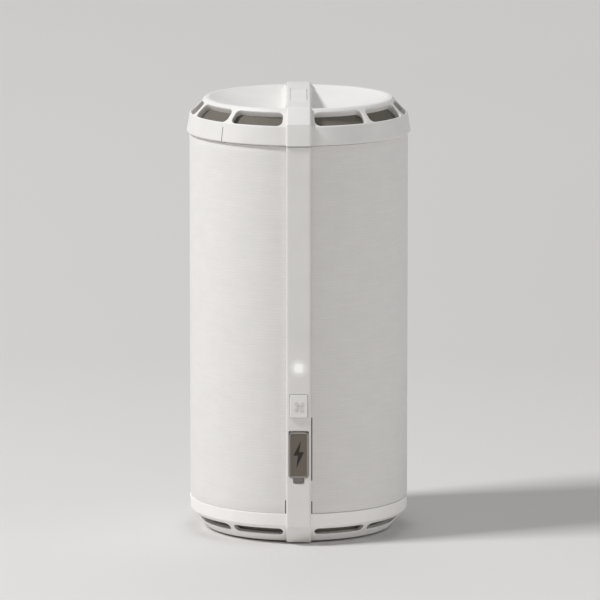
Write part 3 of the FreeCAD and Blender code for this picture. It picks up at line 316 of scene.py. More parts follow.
# The plain finishes: name, colour from 0 to 255, roughness and what else differs.
PLAIN_FINISHES = (
    ("screw_steel", (150, 150, 152), 0.35, {"metal": 1.0}),
    ("dark_rubber", (48, 47, 46), 0.8, {}),
    ("magnet", (190, 190, 195), 0.25, {"metal": 1.0}),
    ("black_plastic", (44, 44, 46), 0.45, {}),
    ("taupe_rubber", (108, 103, 95), 0.62, {"grain_strength": 0.1}),
    ("socket_steel", (185, 185, 188), 0.3, {"metal": 1.0}),
    ("board_green", (28, 96, 58), 0.4, {"coat": 0.3}),
    ("connector_cream", (226, 219, 198), 0.5, {}),
    ("cell_wrap", (62, 120, 168), 0.3, {"coat": 0.4}),
    ("nickel", (200, 198, 190), 0.3, {"metal": 1.0}),
    ("lead_red", (170, 34, 28), 0.5, {}),
    ("lead_black", (34, 34, 36), 0.5, {}),
    ("fan_grey", (130, 131, 133), 0.42, {}),
    ("copper", (196, 120, 72), 0.35, {"metal": 0.9}),
    ("filter_paper", (236, 236, 232), 0.9, {"grain_strength": 0.25}),
    ("carbon", (42, 42, 43), 0.85, {"grain_strength": 0.6}),
    ("filter_cap", (232, 232, 230), 0.55, {}),
    ("strap_blue", (120, 152, 176), 0.5, {}),
    ("pad_white", (234, 232, 230), 0.6, {"grain_strength": 0.12}),
    ("icon_dark", (44, 38, 34), 0.6, {}),
    # Painted light: a paler copy of the white plastic for the lower ring, standing in for light bounced up
    # from the floor.
    ("ring_white", (250, 248, 246), 0.5, {}),
    ("tab_grey", (122, 118, 114), 0.62, {"grain_strength": 0.1}),
    ("symbol_white", (219, 217, 215), 0.45, {}),
)

finish = {
    "white_shell": shell_white(),
    "white_satin": spine_white(),
    "woven_cover": woven_material(),
    "lens_white": glow_material(),
    "flap_taupe": flap_material(),
    "dark_mesh": mesh_material("dark_mesh", linear(110, 106, 97), 0.75, 1100.0, 0.5, 0.0002),
    "filter_net": mesh_material("filter_net", linear(225, 225, 223), 0.8, 900.0, 0.6, 0.0003),
}
for name, rgb, rough, more in PLAIN_FINISHES:
    finish[name] = plain_material(name, linear(*rgb), rough, **more).material

slot_of = {p["node"]: p["material_slot"] for p in frame["record"]["subparts"]}
for name, thing in frame["nodes"].items():
    thing.data.materials.clear()
    thing.data.materials.append(finish[slot_of[name]])


# ---------------------------------------------------------------- mesh tools


SHARP_FROM = math.radians(35)


def body_of(node):
    return frame["nodes"][node]["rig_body"]


def piece(name, build, node, material=None, weld=0.0, replace=True, bevel=None, smooth_angle=40.0):
    """A shown piece from a bmesh drawn in millimetres; it rides with a CAD node's body."""
    if weld:
        bmesh.ops.remove_doubles(build, verts=build.verts, dist=weld)
    bmesh.ops.recalc_face_normals(build, faces=build.faces)
    bmesh.ops.scale(build, vec=(MM, MM, MM), verts=build.verts)
    for face in build.faces:
        face.smooth = True
    limit = math.radians(smooth_angle)
    for edge in build.edges:
        if len(edge.link_faces) == 2 and edge.calc_face_angle(0.0) > limit:
            edge.smooth = False
    data = bpy.data.meshes.new(name)
    build.to_mesh(data)
    build.free()
    made = bpy.data.objects.new(name, data)
    scene.collection.objects.link(made)
    made.data.materials.append(material or finish[slot_of[node]])
    if bevel:
        width, segments = bevel
        soft = made.modifiers.new("soft_edges", "BEVEL")
        soft.width = width * MM
        soft.segments = segments
        soft.limit_method = "ANGLE"
        soft.angle_limit = SHARP_FROM
        soft.harden_normals = True
        soft.use_clamp_overlap = True
        for edge in made.data.edges:
            edge.use_edge_sharp = False
        even = made.modifiers.new("even_normals", "WEIGHTED_NORMAL")
        even.keep_sharp = True
    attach(made, body_of(node))
    if replace:
        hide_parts(node)
    return made


def grid_faces(build, rows, closed=False):
    """Faces between rows of vertices of equal length; a face that is there already is left as it is."""
    for first, second in zip(rows, rows[1:]):
        count = len(first)
        for i in range(count if closed else count - 1):
            j = (i + 1) % count
            corners = []
            for vertex in (first[i], first[j], second[j], second[i]):
                if vertex not in corners:
                    corners.append(vertex)
            if len(corners) > 2:
                try:
                    build.faces.new(corners)
                except ValueError:
                    pass


def rounded_path(points, radii, steps=6):
    """A polyline whose inner corners are rounded by arcs, as a list of 2-D points."""
    path = [Vector(points[0])]
    for before, corner, after, radius in zip(points, points[1:], points[2:], radii):
        corner = Vector(corner)
        back = (Vector(before) - corner)
        ahead = (Vector(after) - corner)
        reach = min(back.length, ahead.length) * 0.49
        back.normalize()
        ahead.normalize()
        half = back.angle(ahead) / 2
        radius = min(radius, reach * math.tan(half))
        if radius < 1e-4 or half > math.radians(89.5):
            path.append(corner)
            continue
        cut = radius / math.tan(half)
        centre = corner + (back + ahead).normalized() * (radius / math.sin(half))
        start = corner + back * cut - centre
        end = corner + ahead * cut - centre
        turn = start.angle_signed(end)
        for i in range(steps + 1):
            spin = Matrix.Rotation(-turn * i / steps, 2)
            path.append(centre + spin @ start)
    path.append(Vector(points[-1]))
    return path


def dense(path, step):
    """The same path with points no further apart than a step."""
    out = [path[0]]
    for a, b in zip(path, path[1:]):
        count = max(1, math.ceil((b - a).length / step))
        for i in range(1, count + 1):
            out.append(a.lerp(b, i / count))
    return out


def turned_point(radius, azimuth, height):
    return Vector((radius * math.sin(azimuth), -radius * math.cos(azimuth), height))


def turned_surface(build, path, azimuths, closed):
    """A path of radius and height turned through the given azimuths."""
    rows = []
    for azimuth in azimuths:
        rows.append([build.verts.new(turned_point(p[0], azimuth, p[1])) for p in path])
    if closed:
        rows.append(rows[0])
    grid_faces(build, rows)


# The corners of a rectangle, anticlockwise from the lower right. The side with the same number starts there:
# right, top, left, bottom.
CORNERS = ((1, -1), (1, 1), (-1, 1), (-1, -1))
QUARTERS = tuple(math.radians(degrees) for degrees in (-90, 0, 90, 180))


class SlotShape:
    """A rounded slot in the middle of a rectangular cell, both as loops of matching points."""

    ACROSS = 22
    UPWARD = 4
    CORNER_STEPS = 8

    def __init__(self, half_w, half_h, radius, outer_w, outer_h):
        self.half_h = half_h
        self.half_w = half_w
        self.radius = radius
        self.inner_w = half_w - radius
        self.inner_h = half_h - radius
        self.outer_w = outer_w
        self.outer_h = outer_h

    def loop(self, grow):
        """The slot's outline, widened by an amount.

        Each entry is x, y and a key of kind, side and share, by which its cell point is found."""
        points = []
        r = self.radius + grow
        for side, (sx, sy) in enumerate(CORNERS):
            for i in range(self.CORNER_STEPS + 1):
                share = i / self.CORNER_STEPS
                angle = QUARTERS[side] + math.radians(90) * share
                x = sx * self.inner_w + r * math.cos(angle)
                y = sy * self.inner_h + r * math.sin(angle)
                points.append((x, y, ("corner", side, share)))
            upright = side in (0, 2)
            onward = 1 if side in (0, 3) else -1
            count = self.UPWARD if upright else self.ACROSS
            for i in range(1, count):
                run = onward * (2 * i / count - 1)
                if upright:
                    points.append((sx * (self.inner_w + r), run * self.inner_h, ("edge", side, i / count)))
                else:
                    points.append((run * self.inner_w, sy * (self.inner_h + r), ("edge", side, i / count)))
        return points

    def cell_point(self, entry):
        """Where a point of the loop is joined to the cell's edge."""
        x, y, (kind, side, share) = entry
        sx, sy = CORNERS[side]
        if kind == "edge":
            return (sx * self.outer_w, y) if side in (0, 2) else (x, sy * self.outer_h)
        first_half = share <= 0.5
        past_w = (self.outer_w - self.inner_w) * (2 * share if first_half else 2 * share - 1)
        past_h = (self.outer_h - self.inner_h) * (2 * share if first_half else 2 * share - 1)
        if side in (0, 2):
            if first_half:
                return sx * (self.inner_w + past_w), sy * self.outer_h
            return sx * self.outer_w, sy * (self.outer_h - past_h)
        if first_half:
            return sx * self.outer_w, sy * (self.inner_h + past_h)
        return sx * (self.outer_w - past_w), sy * self.outer_h


# ---------------------------------------------------------------- slotted rings

# Ten slots, five on each side of the straps: the rib between two slots, the azimuth where the first one
# starts, and the turn from one slot to the next.
RIB = math.radians(3.5)
FIRST = math.radians(9.0)
PITCH = (math.pi - 2 * FIRST + RIB) / 5


def slot_centres():
    right = [FIRST + (PITCH - RIB) / 2 + PITCH * i for i in range(5)]
    return right + [-a for a in right]


def merged_azimuths(azimuths):
    """The azimuths in order within one turn, without repeats."""
    apart = 1e-5
    unique = []
    for azimuth in sorted(a % (2 * math.pi) for a in azimuths):
        if not unique or azimuth - unique[-1] > apart:
            unique.append(azimuth)
    if unique[-1] > 2 * math.pi - apart:
        unique.pop()
    return unique


def slotted_ring(build, foot, top, below, above, hole, margin, corner, wall, lip, draft):
    """A ring with ten soft-edged slots in its straight slope from foot to top.

    below and above are the paths of radius and height that carry on from the slope's two ends. hole is where
    a slot starts and ends up the slope, and margin the slope beyond it that belongs to its cell. draft says
    how far a slot widens at each side, at its low end and at its high end through the wall."""
    foot = Vector(foot)
    along = (Vector(top) - foot).normalized()
    inward = Vector((-abs(along.y), along.x if along.x > 0 else -abs(along.x)))
    middle = (hole[0] + hole[1]) / 2
    half_h = (hole[1] - hole[0]) / 2
    middle_r = foot.x + along.x * middle
    half_w = (PITCH - RIB) / 2 * middle_r
    outer_w = PITCH / 2 * middle_r
    outer_h = half_h + margin
    shape = SlotShape(half_w, half_h, corner, outer_w, outer_h)
    side_draft, low_draft, high_draft = draft

    def at(x, y, depth, centre):
        p = foot + along * (middle + y) + inward * depth
        return build.verts.new(turned_point(p.x, centre + x / middle_r, p.y))

    def drafted(x, y, depth):
        share = depth / wall
        end_draft = low_draft if y < 0 else high_draft
        return x * (1 + side_draft * share / half_w), y * (1 + end_draft * share / half_h)

    layers = [(0.0, wall * k / 3) for k in (3, 2, 1)]
    layers += [(lip * (1 - math.cos(a)), lip * (1 - math.sin(a)))
               for a in (math.radians(90) * i / 4 for i in range(5))]
    for centre in slot_centres():
        rows = []
        for grow, depth in layers:
            rows.append([at(*drafted(x, y, depth), depth, centre) for x, y, _ in shape.loop(grow)])
        for share in (0.34, 0.67, 1.0):
            ring = []
            for entry in shape.loop(lip):
                x, y, _ = entry
                far_x, far_y = shape.cell_point(entry)
                ring.append(at(x + (far_x - x) * share, y + (far_y - y) * share, 0, centre))
            rows.append(ring)
        grid_faces(build, rows, closed=True)
        back = [at(*shape.cell_point(entry), wall, centre) for entry in shape.loop(0)]
        grid_faces(build, [rows[0], back], closed=True)

    outer = [shape.cell_point(entry) for entry in shape.loop(lip)]
    across = sorted({round(x, 6) for x, y in outer if abs(y - outer_h) < 1e-6})
    upward = sorted({round(y, 6) for x, y in outer if abs(x - outer_w) < 1e-6})
    gap = FIRST - RIB / 2
    land = [gap * (2 * i / 14 - 1) for i in range(15)]
    azimuths = [centre + x / middle_r for centre in slot_centres() for x in across]
    azimuths = merged_azimuths(azimuths + land + [math.pi + a for a in land])
    slope = [foot + along * (middle + y) for y in upward]
    lining = [slope[0] + inward * wall, slope[-1] + inward * wall]
    for start in (0.0, math.pi):
        turned_surface(build, slope, [start + a for a in land], False)
        turned_surface(build, lining, [start + a for a in land], False)
    for carry_on, y in ((below, -outer_h), (above, outer_h)):
        end = foot + along * (middle + y)
        turned_surface(build, carry_on(end, end + inward * wall), azimuths, True)


# The lid in millimetres: its slope runs from the collar's turn up to its shoulder.
LID_TOP = 179.5
LID_TURN = (44.9, 172.9)
LID_SHOULDER = (39.2, 178.8)
LID_STEEPNESS = (LID_SHOULDER[1] - LID_TURN[1]) / (LID_TURN[0] - LID_SHOULDER[0])
CREST_R = 38.5
DISH_EDGE = 37.1
BOWL_R = 36.9
BOWL_DEPTH = 7.6
BALL = (BOWL_R ** 2 + BOWL_DEPTH ** 2) / (2 * BOWL_DEPTH)


def make_lid_grille():
    build = bmesh.new()

    def below(edge, inner_edge):
        corners = [(inner_edge.x, inner_edge.y), (41.0, 171.1), (41.0, 169.6), (44.0, 169.6), (44.2, 165.4),
                   (46.2, 165.4), LID_TURN, (edge.x, edge.y)]
        return dense(rounded_path(corners, (0.1, 0.1, 0.1, 0.15, 0.45, 0.6)), 1.5)

    def above(edge, inner_edge):
        crest = LID_TURN[0] - (LID_TOP - LID_TURN[1]) / LID_STEEPNESS
        corners = [(edge.x, edge.y), (crest, LID_TOP), (DISH_EDGE, LID_TOP), (DISH_EDGE, 177.2),
                   (inner_edge.x, inner_edge.y)]
        return dense(rounded_path(corners, (1.5, 0.001, 0.001), 9), 0.6)

    slotted_ring(build, LID_TURN, LID_SHOULDER, below, above, hole=(0.75, 7.35), margin=0.6, corner=2.2,
                 wall=2.75, lip=0.4, draft=(1.1, 0.2, -0.45))
    piece("lid_grille_ring", build, "lid_grille", weld=0.003)


def make_inlet_ring():
    """The lower ring, whose slope runs from its foot out to the turn below the cloth."""
    build = bmesh.new()
    foot = (38.3, 0.8)
    turn = (44.8, 8.2)
    top_z = 13.28

    def below(edge, inner_edge):
        corners = [(inner_edge.x, inner_edge.y), (37.6, 4.4), (37.1, 3.2), (37.1, foot[1]), foot,
                   (edge.x, edge.y)]
        return dense(rounded_path(corners, (0.3, 0.1, 0.2, 0.45)), 1.0)

    def above(edge, inner_edge):
        corners = [(edge.x, edge.y), turn, (45.13, top_z), (43.4, top_z), (43.0, 10.6),
                   (inner_edge.x, inner_edge.y)]
        return dense(rounded_path(corners, (4.0, 0.25, 0.2, 1.0), 9), 0.8)

    slotted_ring(build, foot, turn, below, above, hole=(4.1, 7.75), margin=1.6, corner=1.7, wall=2.2, lip=0.4,
                 draft=(1.0, 1.45, 0.2))
    # The lower ring wears the paler copy of the white, with painted bounce light.
    piece("inlet_ring_skin", build, "inlet_ring", material=finish["ring_white"], weld=0.003)


def full_turn(count):
    return [2 * math.pi * i / count for i in range(count)]


def make_inlet_screen():
    """A thin conical screen just inside the lower ring's slots."""
    build = bmesh.new()
    path = [Vector(p) for p in ((37.5, 3.75), (42.45, 9.35), (42.15, 9.6), (37.2, 4.0), (37.5, 3.75))]
    turned_surface(build, dense(path, 1.0), full_turn(180), True)
    piece("inlet_screen_mesh", build, "inlet_screen", weld=0.002)


def bowl_height(radius):
    """Height of the hollow's surface, of the crest or of the slope, at a radius."""
    if radius <= BOWL_R:
        return LID_TOP - BOWL_DEPTH + BALL - math.sqrt(BALL ** 2 - radius ** 2)
    if radius <= CREST_R:
        return LID_TOP
    return LID_TOP - (radius - CREST_R) * LID_STEEPNESS


def make_dish():
    """The dished top: a wall of even thickness, hollow like the cap of a ball, with a rounded rim."""
    build = bmesh.new()
    under_ball = BALL + 2.2
    centre = LID_TOP - BOWL_DEPTH + BALL
    radii = (0.0, 6, 12, 18, 24, 30, 36.2)
    under = [Vector((r, centre - math.sqrt(under_ball ** 2 - r ** 2))) for r in radii]
    low_r = 32.0
    rim = rounded_path([(DISH_EDGE, LID_TOP), (BOWL_R, LID_TOP), (low_r, bowl_height(low_r))], (1.5,), 8)
    start = rim[-2].x
    inside = [Vector((start * (1 - i / 40), bowl_height(start * (1 - i / 40)))) for i in range(41)]
    path = [*under, Vector((DISH_EDGE, under[-1].y)), *rim[:-2], *inside]
    turned_surface(build, path, full_turn(256), True)
    piece("lid_dish_bowl", build, "lid_dish", weld=0.002)


# ---------------------------------------------------------------- band across the lid

BAND_HALF = 5.1
BAND_SOFT = 0.9
BAND_TOP = 180.3
# The band's bend over the lid's edge, and the point its side walls lean towards near the bend.
BAND_BEND = (46.5, 174.2)
BAND_HUB = (39.4, 170.5)


def clamped(value):
    return max(0.0, min(1.0, value))


def band_line():
    """The band's outer line over the lid, as points of y and z."""
    half = [(47.7, 165.45), BAND_BEND, (39.9, BAND_TOP)]
    outline = [(-y, z) for y, z in half] + list(reversed(half))
    return dense(rounded_path(outline, (0.5, 1.6, 1.6, 0.5), 5), 1.2)


def band_crown():
    """Half of the band's section down to where its rounded edge ends, as points of x and depth."""
    flat = BAND_HALF - BAND_SOFT
    crown = [(flat * k / 3, 0.0) for k in range(4)]
    for k in range(1, 7):
        a = math.radians(90) * k / 6
        crown.append((flat + BAND_SOFT * math.sin(a), BAND_SOFT * (1 - math.cos(a))))
    return crown


def side_over_bowl(y, z):
    """The band's side where it crosses the bowl, with a fillet that runs out at the rim."""
    flare = 2.4 * clamped((37.0 - abs(y)) / 5.0) ** 0.7
    floor = bowl_height(math.hypot(BAND_HALF, y))
    foot = floor + flare
    top = z - BAND_SOFT
    points = [(BAND_HALF, y, top + (foot - top) * k / 2) for k in (1, 2)]
    for k in range(1, 8):
        a = math.radians(90) * k / 7
        x = BAND_HALF + flare * (1 - math.cos(a))
        points.append((x, y, bowl_height(math.hypot(x, y)) + flare * (1 - math.sin(a))))
    points.append((BAND_HALF + flare * 0.8, y, floor - 0.7))
    return points


def side_over_edge(y, z, inward):
    """The band's side where it lies on the lid's slope and collar: a flat wall, deepest at the collar."""
    deepest = 2.2 + 1.2 * clamped((abs(y) - 41.0) / 1.5)
    mirrored = Vector((abs(y), z))
    lean = inward
    if (mirrored - Vector(BAND_BEND)).length < 2.7:
        lean = (Vector(BAND_HUB) - mirrored).normalized()
        lean.x = math.copysign(lean.x, -y)
    depths = [BAND_SOFT + (deepest - BAND_SOFT) * k / 9 for k in range(1, 10)]
    points = [(BAND_HALF, y + lean.x * d, z + lean.y * d) for d in depths]
    hem = deepest + 0.05
    points.append((BAND_HALF - 0.2, y + lean.x * hem, z + lean.y * hem))
    return points


def make_band():
    path = band_line()
    build = bmesh.new()
    rows = []
    for i, here in enumerate(path):
        before = path[max(i - 1, 0)]
        after = path[min(i + 1, len(path) - 1)]
        tangent = (after - before).normalized()
        inward = Vector((tangent.y, -tangent.x))
        y, z = here
        points = [(x, y + inward.x * d, z + inward.y * d) for x, d in band_crown()]
        points += side_over_bowl(y, z) if abs(y) < CREST_R else side_over_edge(y, z, inward)
        row = [build.verts.new((-x, yy, zz)) for x, yy, zz in reversed(points[1:])]
        row += [build.verts.new(p) for p in points]
        rows.append(row)
    grid_faces(build, rows, closed=True)
    build.faces.new(rows[0])
    build.faces.new(list(reversed(rows[-1])))
    bmesh.ops.recalc_face_normals(build, faces=build.faces)
    subtract(build, rounded_block(3.5, 18.9, 1.3, 179.65, 181.0))
    piece("lid_band_strap", build, "lid_band", weld=0.0005, smooth_angle=50)

    pad = rounded_block(3.38, 18.89, 1.2, 179.5, 180.27)
    piece("grip_pad_inlay", pad, "grip_pad", bevel=(0.22, 3))


# ---------------------------------------------------------------- solids with holes


def rounded_outline(half_w, half_h, radius, steps=6, centre=(0.0, 0.0)):
    """A rounded rectangle as a list of 2-D points; radius is one number or one for each corner.

    The corners run from the lower right anticlockwise."""
    radii = radius if isinstance(radius, (tuple, list)) else (radius,) * 4
    points = []
    for side, r in enumerate(radii):
        sx, sy = CORNERS[side]
        for i in range(steps + 1):
            a = QUARTERS[side] + math.radians(90) * i / steps
            points.append((centre[0] + sx * (half_w - r) + r * math.cos(a),
                           centre[1] + sy * (half_h - r) + r * math.sin(a)))
    return points


PLANES = {
    "XY": lambda a, b, c: (a, b, c),
    "XZ": lambda a, b, c: (a, c, b),
    "YZ": lambda a, b, c: (c, a, b),
}


def prism(points, low, high, plane="XY"):
    """A closed prism over an outline; plane XY extrudes along Z, XZ along Y and YZ along X."""
    build = bmesh.new()
    place = PLANES[plane]
    bottom = [build.verts.new(place(a, b, low)) for a, b in points]
    top = [build.verts.new(place(a, b, high)) for a, b in points]
    build.faces.new(bottom)
    build.faces.new(list(reversed(top)))
    grid_faces(build, [bottom, top], closed=True)
    bmesh.ops.remove_doubles(build, verts=build.verts, dist=1e-4)
    bmesh.ops.recalc_face_normals(build, faces=build.faces)
    return build


def rounded_block(half_x, half_y, radius, low, high):
    return prism(rounded_outline(half_x, half_y, radius), low, high)


def front_block(half_x, half_z, radius, height, front, back, steps=6):
    """A block with a rounded outline as seen from the front, centred at a height."""
    return prism(rounded_outline(half_x, half_z, radius, steps, centre=(0, height)), front, back, plane="XZ")


def temporary(build):
    """An object that a cut needs and that is removed after it."""
    data = bpy.data.meshes.new("temporary")
    build.to_mesh(data)
    build.free()
    made = bpy.data.objects.new("temporary", data)
    scene.collection.objects.link(made)
    return made


def subtract(build, *tools):
    """Takes closed tools out of a closed bmesh."""
    data = bpy.data.meshes.new("whole")
    build.to_mesh(data)
    whole = bpy.data.objects.new("whole", data)
    scene.collection.objects.link(whole)
    cutters = [temporary(tool) for tool in tools]
    for cutter in cutters:
        step = whole.modifiers.new("cut", "BOOLEAN")
        step.operation = "DIFFERENCE"
        step.solver = "EXACT"
        step.object = cutter
    bpy.context.view_layer.update()
    graph = bpy.context.evaluated_depsgraph_get()
    result = bpy.data.meshes.new_from_object(whole.evaluated_get(graph))
    build.clear()
    build.from_mesh(result)
    for thing in (whole, *cutters):
        bpy.data.objects.remove(thing)
    bmesh.ops.dissolve_limit(build, angle_limit=math.radians(0.5), verts=build.verts, edges=build.edges)


def soften(build, wanted, width, segments):
    """Rounds the edges whose two ends pass a test."""
    edges = [e for e in build.edges if wanted(*(v.co for v in e.verts))]
    bmesh.ops.bevel(build, geom=edges, offset=width, segments=segments, profile=0.5, affect="EDGES",
                    clamp_overlap=False)


def spine_solid():
    """A strap down the front, which tucks in under the lower ring; outline points are y and z."""
    top = 165.0
    outline = [(-43.9, top), (STRAP_Y, top), (STRAP_Y, 7.4), (-40.3, 0.5), (-39.1, 0.65), (-43.9, 8.6)]
    rounded = rounded_path([*outline, outline[0]], (0.001, 3.0, 1.1, 0.001, 0.001), 8)[:-1]
    points = [(p.x, p.y) for p in rounded]
    build = prism(points, -BAND_HALF, BAND_HALF, plane="YZ")

    def outer(a, b):
        """Whether an edge runs along the strap's face or its tuck, not across it or at its top."""
        same_side = abs(a.x - b.x) < 1e-4
        both_out = all(v.y < -44.5 or v.z < 7.3 and v.y + 0.9 * v.z < -38.8 for v in (a, b))
        at_top = a.z > top - 0.1 and b.z > top - 0.1
        return same_side and both_out and not at_top

    soften(build, outer, 1.1, 5)
    return build


def make_spines():
    """The front strap with its recesses, and the plain one at the back."""
    build = spine_solid()
    ahead = -50
    lamp = front_block(1.95, 1.95, 0.6, LAMP_Z, ahead, -45.2)
    button = front_block(3.78, 4.97, 0.45, 58.47, ahead, -44.6)
    cover = front_block(4.14, 9.83, (1.2, 0.6, 0.6, 1.2), 38.48, ahead, -45.5)
    tab = front_block(2.3, 1.7, (0.7, 0.1, 0.1, 0.7), 28.0, ahead, -46.15)
    socket = front_block(1.88, 4.72, 1.87, SOCKET_Z, ahead, -43.0)
    subtract(build, lamp, button, cover, tab, socket)
    piece("front_spine_strap", build, "front_spine", bevel=(0.13, 2))
    rear = spine_solid()
    bmesh.ops.rotate(rear, cent=(0, 0, 0), matrix=Matrix.Rotation(math.pi, 3, "Z"), verts=rear.verts)
    piece("rear_spine_strap", rear, "rear_spine", bevel=(0.12, 2))


# The button's sloping face, in millimetres: how far out it stands at its lower and at its upper edge.
BUTTON_LOW_Z = 53.75
BUTTON_TOP_Z = 63.3
BUTTON_LOW_Y = -48.25
BUTTON_TOP_Y = -47.05
PLATE_FACE_Y = -47.35
PANEL_FACE_Y = -47.22


def make_controls():
    lens = front_block(1.93, 1.93, 0.58, LAMP_Z, STRAP_Y + 0.01, -44.0)
    piece("indicator_window", lens, "indicator_lens", bevel=(0.15, 3))

    behind = -45.2
    wedge = [(behind, BUTTON_LOW_Z), (BUTTON_LOW_Y, BUTTON_LOW_Z), (BUTTON_TOP_Y, BUTTON_TOP_Z),
             (behind, BUTTON_TOP_Z)]
    button = prism(wedge, -3.67, 3.67, plane="YZ")
    piece("power_button_cap", button, "power_button", bevel=(0.38, 4))
    make_fan_symbol()
    make_socket_cover()


def make_socket_cover():
    """The flap with its sunken panel, the plug behind it, the pull tab below it and the sign on it."""
    taupe = finish["flap_taupe"]
    rim_w = 0.63
    rim_h = 0.66
    cover = front_block(FLAP_HALF_W, FLAP_HALF_H, (1.05, 1.6, 1.6, 1.05), FLAP_Z, PLATE_FACE_Y, -45.8,
                        steps=5)
    panel = front_block(FLAP_HALF_W - rim_w, FLAP_HALF_H - rim_h, (0.7, 1.1, 1.1, 0.7), FLAP_Z, -48.0,
                        PANEL_FACE_Y, steps=5)
    subtract(cover, panel)
    piece("socket_cover_flap", cover, "socket_cover", material=taupe, bevel=(0.28, 3))
    plug = front_block(1.0, 3.5, 0.98, SOCKET_Z, -45.85, -43.05)
    piece("socket_cover_plug", plug, "socket_cover", replace=False, bevel=(0.25, 3))
    tab = prism([(-1.6, 26.6), (1.6, 26.6), (2.05, 27.3), (2.05, 29.5), (-2.05, 29.5), (-2.05, 27.3)],
                -47.3, -46.4, plane="XZ")
    piece("socket_cover_tab", tab, "socket_cover", material=finish["tab_grey"], replace=False, bevel=(0.3, 4))
    bolt = [(0.95, 44.4), (-2.2, 38.0), (-0.3, 38.0), (-1.05, 32.6), (2.2, 39.5), (0.25, 39.5)]
    sign = prism(bolt, PANEL_FACE_Y - 0.05, -47.1, plane="XZ")
    piece("socket_cover_symbol", sign, "socket_cover", material=finish["icon_dark"], replace=False,
          bevel=(0.08, 2))


def make_fan_symbol():
    """Four small raised blades on the button's sloping face."""
    height = 58.4
    raised = 0.26
    sunk = 0.3
    lean = math.atan2(BUTTON_TOP_Y - BUTTON_LOW_Y, BUTTON_TOP_Z - BUTTON_LOW_Z)
    centre = Vector((0.0, BUTTON_TOP_Y - (BUTTON_TOP_Z - height) * math.tan(lean), height))
    tilt = Matrix.Rotation(-lean, 4, "X")
    leaf = [(0.35, 0.25), (0.95, 1.5), (0.55, 2.35), (-0.25, 2.45), (-0.65, 1.9), (-0.35, 0.9)]
    build = bmesh.new()
    for i in range(4):
        spin = Matrix.Rotation(math.radians(45 + 90 * i), 4, "Y")
        front = [build.verts.new(tilt @ (spin @ Vector((x, -raised, z))) + centre) for x, z in leaf]
        back = [build.verts.new(tilt @ (spin @ Vector((x, sunk, z))) + centre) for x, z in leaf]
        build.faces.new(front)
        build.faces.new(list(reversed(back)))
        grid_faces(build, [front, back], closed=True)
    piece("power_button_symbol", build, "power_button", material=finish["symbol_white"], replace=False,
          bevel=(0.1, 2))


# ---------------------------------------------------------------- fabric


def make_cover(name, node, middle):
    """Half of the woven cover: one sheet of cloth, its side edges tucked behind the spines."""
    strap_half = math.radians(5.5)
    low = 13.38
    high = 165.02
    span = math.pi - 2 * strap_half
    across = 200
    up = 90
    build = bmesh.new()
    layer = build.loops.layers.uv.new("cloth_mm")
    rows = []
    places = {}
    for j in range(up + 1):
        row = []
        for i in range(across + 1):
            u = i / across
            v = j / up
            azimuth = middle - span / 2 + span * u
            height = low + (high - low) * v
            from_hem = min(v, 1 - v) * (high - low)
            from_strap = min(u, 1 - u) * span * BODY_R
            tuck = 0.45 * math.exp(-(from_hem / 0.35)) + 0.5 * math.exp(-(from_strap / 0.25))
            vertex = build.verts.new(turned_point(BODY_R - tuck, azimuth, height))
            places[vertex] = (span * u * BODY_R, height - low)
            row.append(vertex)
        rows.append(row)
    grid_faces(build, rows)
    for face in build.faces:
        for corner in face.loops:
            corner[layer].uv = places[corner.vert]
    made = piece(name, build, node)


make_lid_grille()
make_inlet_ring()
make_inlet_screen()
make_dish()
make_band()
make_spines()
make_controls()
make_cover("cover_right", "fabric_right", math.pi / 2)
make_cover("cover_left", "fabric_left", -math.pi / 2)


# ---------------------------------------------------------------- floor, light and camera


# Painted light: how pale the paper is painted at each distance behind the object in metres, from 0 to 255,
# standing in for how light and shade fall across the backdrop.
FLOOR_LIGHT_TONES = ((-0.15, 228), (0.0, 225), (0.2, 223.5), (0.4, 220.5), (0.62, 224), (0.9, 230), (1.2, 236.5),
               (1.4, 240), (1.6, 245.5), (1.8, 250))


def warm_grey(tone):
    return linear(tone, tone - 2, tone - 3)


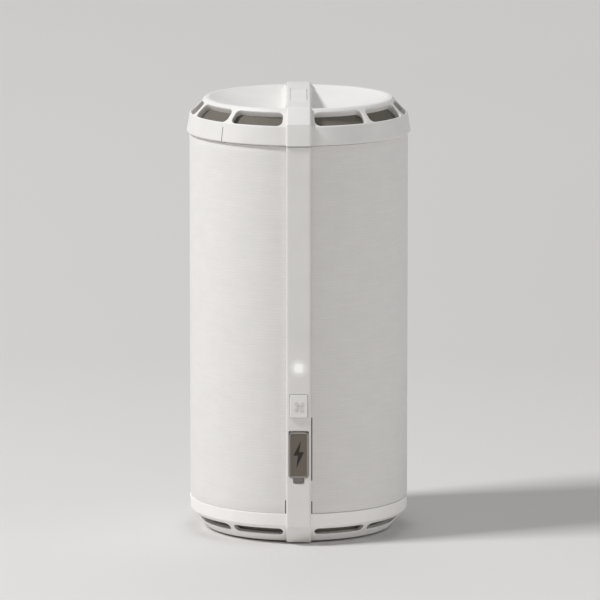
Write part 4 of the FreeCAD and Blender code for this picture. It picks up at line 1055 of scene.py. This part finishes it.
def paper_material():
    """Pale paper with painted light: its tone changes with distance behind the object, for how light and
    shade fall across the backdrop.
    """
    shade = Shade("floor_paper")
    first = FLOOR_LIGHT_TONES[0][0]
    last = FLOOR_LIGHT_TONES[-1][0]
    along = shade.math("DIVIDE", shade.math("SUBTRACT", shade.axes()["Y"], first), last - first)
    # The painted light: a ramp of paper tones by distance behind the object.
    painted_light_ramp = shade.add("ShaderNodeValToRGB")
    stops = painted_light_ramp.color_ramp.elements
    stops[0].color = warm_grey(FLOOR_LIGHT_TONES[0][1])
    stops[1].color = warm_grey(FLOOR_LIGHT_TONES[-1][1])
    for y, tone in FLOOR_LIGHT_TONES[1:-1]:
        stops.new((y - first) / (last - first)).color = warm_grey(tone)
    shade.link(along, painted_light_ramp.inputs["Fac"])
    paper = shade.ramp(shade.noise(1.3, 3.0), grey(0.99), grey(1))
    shade.link(shade.product(paper, painted_light_ramp.outputs["Color"]), shade.main.inputs["Base Color"])
    shade.main.inputs["Roughness"].default_value = 0.75
    shade.main.inputs["Specular IOR Level"].default_value = 0.2
    return shade.material


def make_floor():
    """A wide flat sheet of paper under the object."""
    reach = 8
    build = bmesh.new()
    marks = range(-reach, reach + 1)
    rows = [[build.verts.new((x, y, 0)) for y in marks] for x in marks]
    grid_faces(build, rows)
    bmesh.ops.recalc_face_normals(build, faces=build.faces)
    data = bpy.data.meshes.new("floor")
    build.to_mesh(data)
    build.free()
    made = bpy.data.objects.new("floor", data)
    scene.collection.objects.link(made)
    made.data.materials.append(paper_material())


def area_light(name, azimuth, elevation, distance, size, power):
    """A square soft light that faces the object's middle; azimuth counts from the front towards +X."""
    a = math.radians(azimuth)
    e = math.radians(elevation)
    aim = Vector((0, 0, 0.09))
    place = aim + Vector((math.sin(a) * math.cos(e), -math.cos(a) * math.cos(e), math.sin(e))) * distance
    lamp = bpy.data.lights.new(name, "AREA")
    lamp.size = size
    lamp.energy = power
    made = bpy.data.objects.new(name, lamp)
    made.location = place
    made.rotation_euler = (aim - place).to_track_quat("-Z", "Y").to_euler()
    scene.collection.objects.link(made)


def make_world(colour, strength):
    world = bpy.data.worlds.new("studio")
    scene.world = world
    world.use_nodes = True
    background = world.node_tree.nodes["Background"]
    background.inputs["Color"].default_value = colour
    background.inputs["Strength"].default_value = strength


def make_camera(place, down, focal_length):
    """A camera in front of the object that looks down by a few degrees."""
    lens = bpy.data.cameras.new("camera")
    lens.sensor_width = 36.0
    lens.lens = focal_length
    camera = bpy.data.objects.new("camera", lens)
    camera.location = place
    camera.rotation_euler = (math.radians(90 - down), 0, 0)
    scene.collection.objects.link(camera)
    scene.camera = camera


make_floor()
area_light("key", -72, 48, distance=2.6, size=0.49, power=45.7)
area_light("fill", 72, 7, distance=2.4, size=1.2, power=8.6)
area_light("over", 180, 52, distance=2.6, size=1.6, power=6.2)
make_world((1.0, 0.995, 0.99, 1.0), strength=0.352)
make_camera((0.00054, -2.7, 0.54812), down=9.537, focal_length=397.19)
scene.view_settings.view_transform = "Standard"
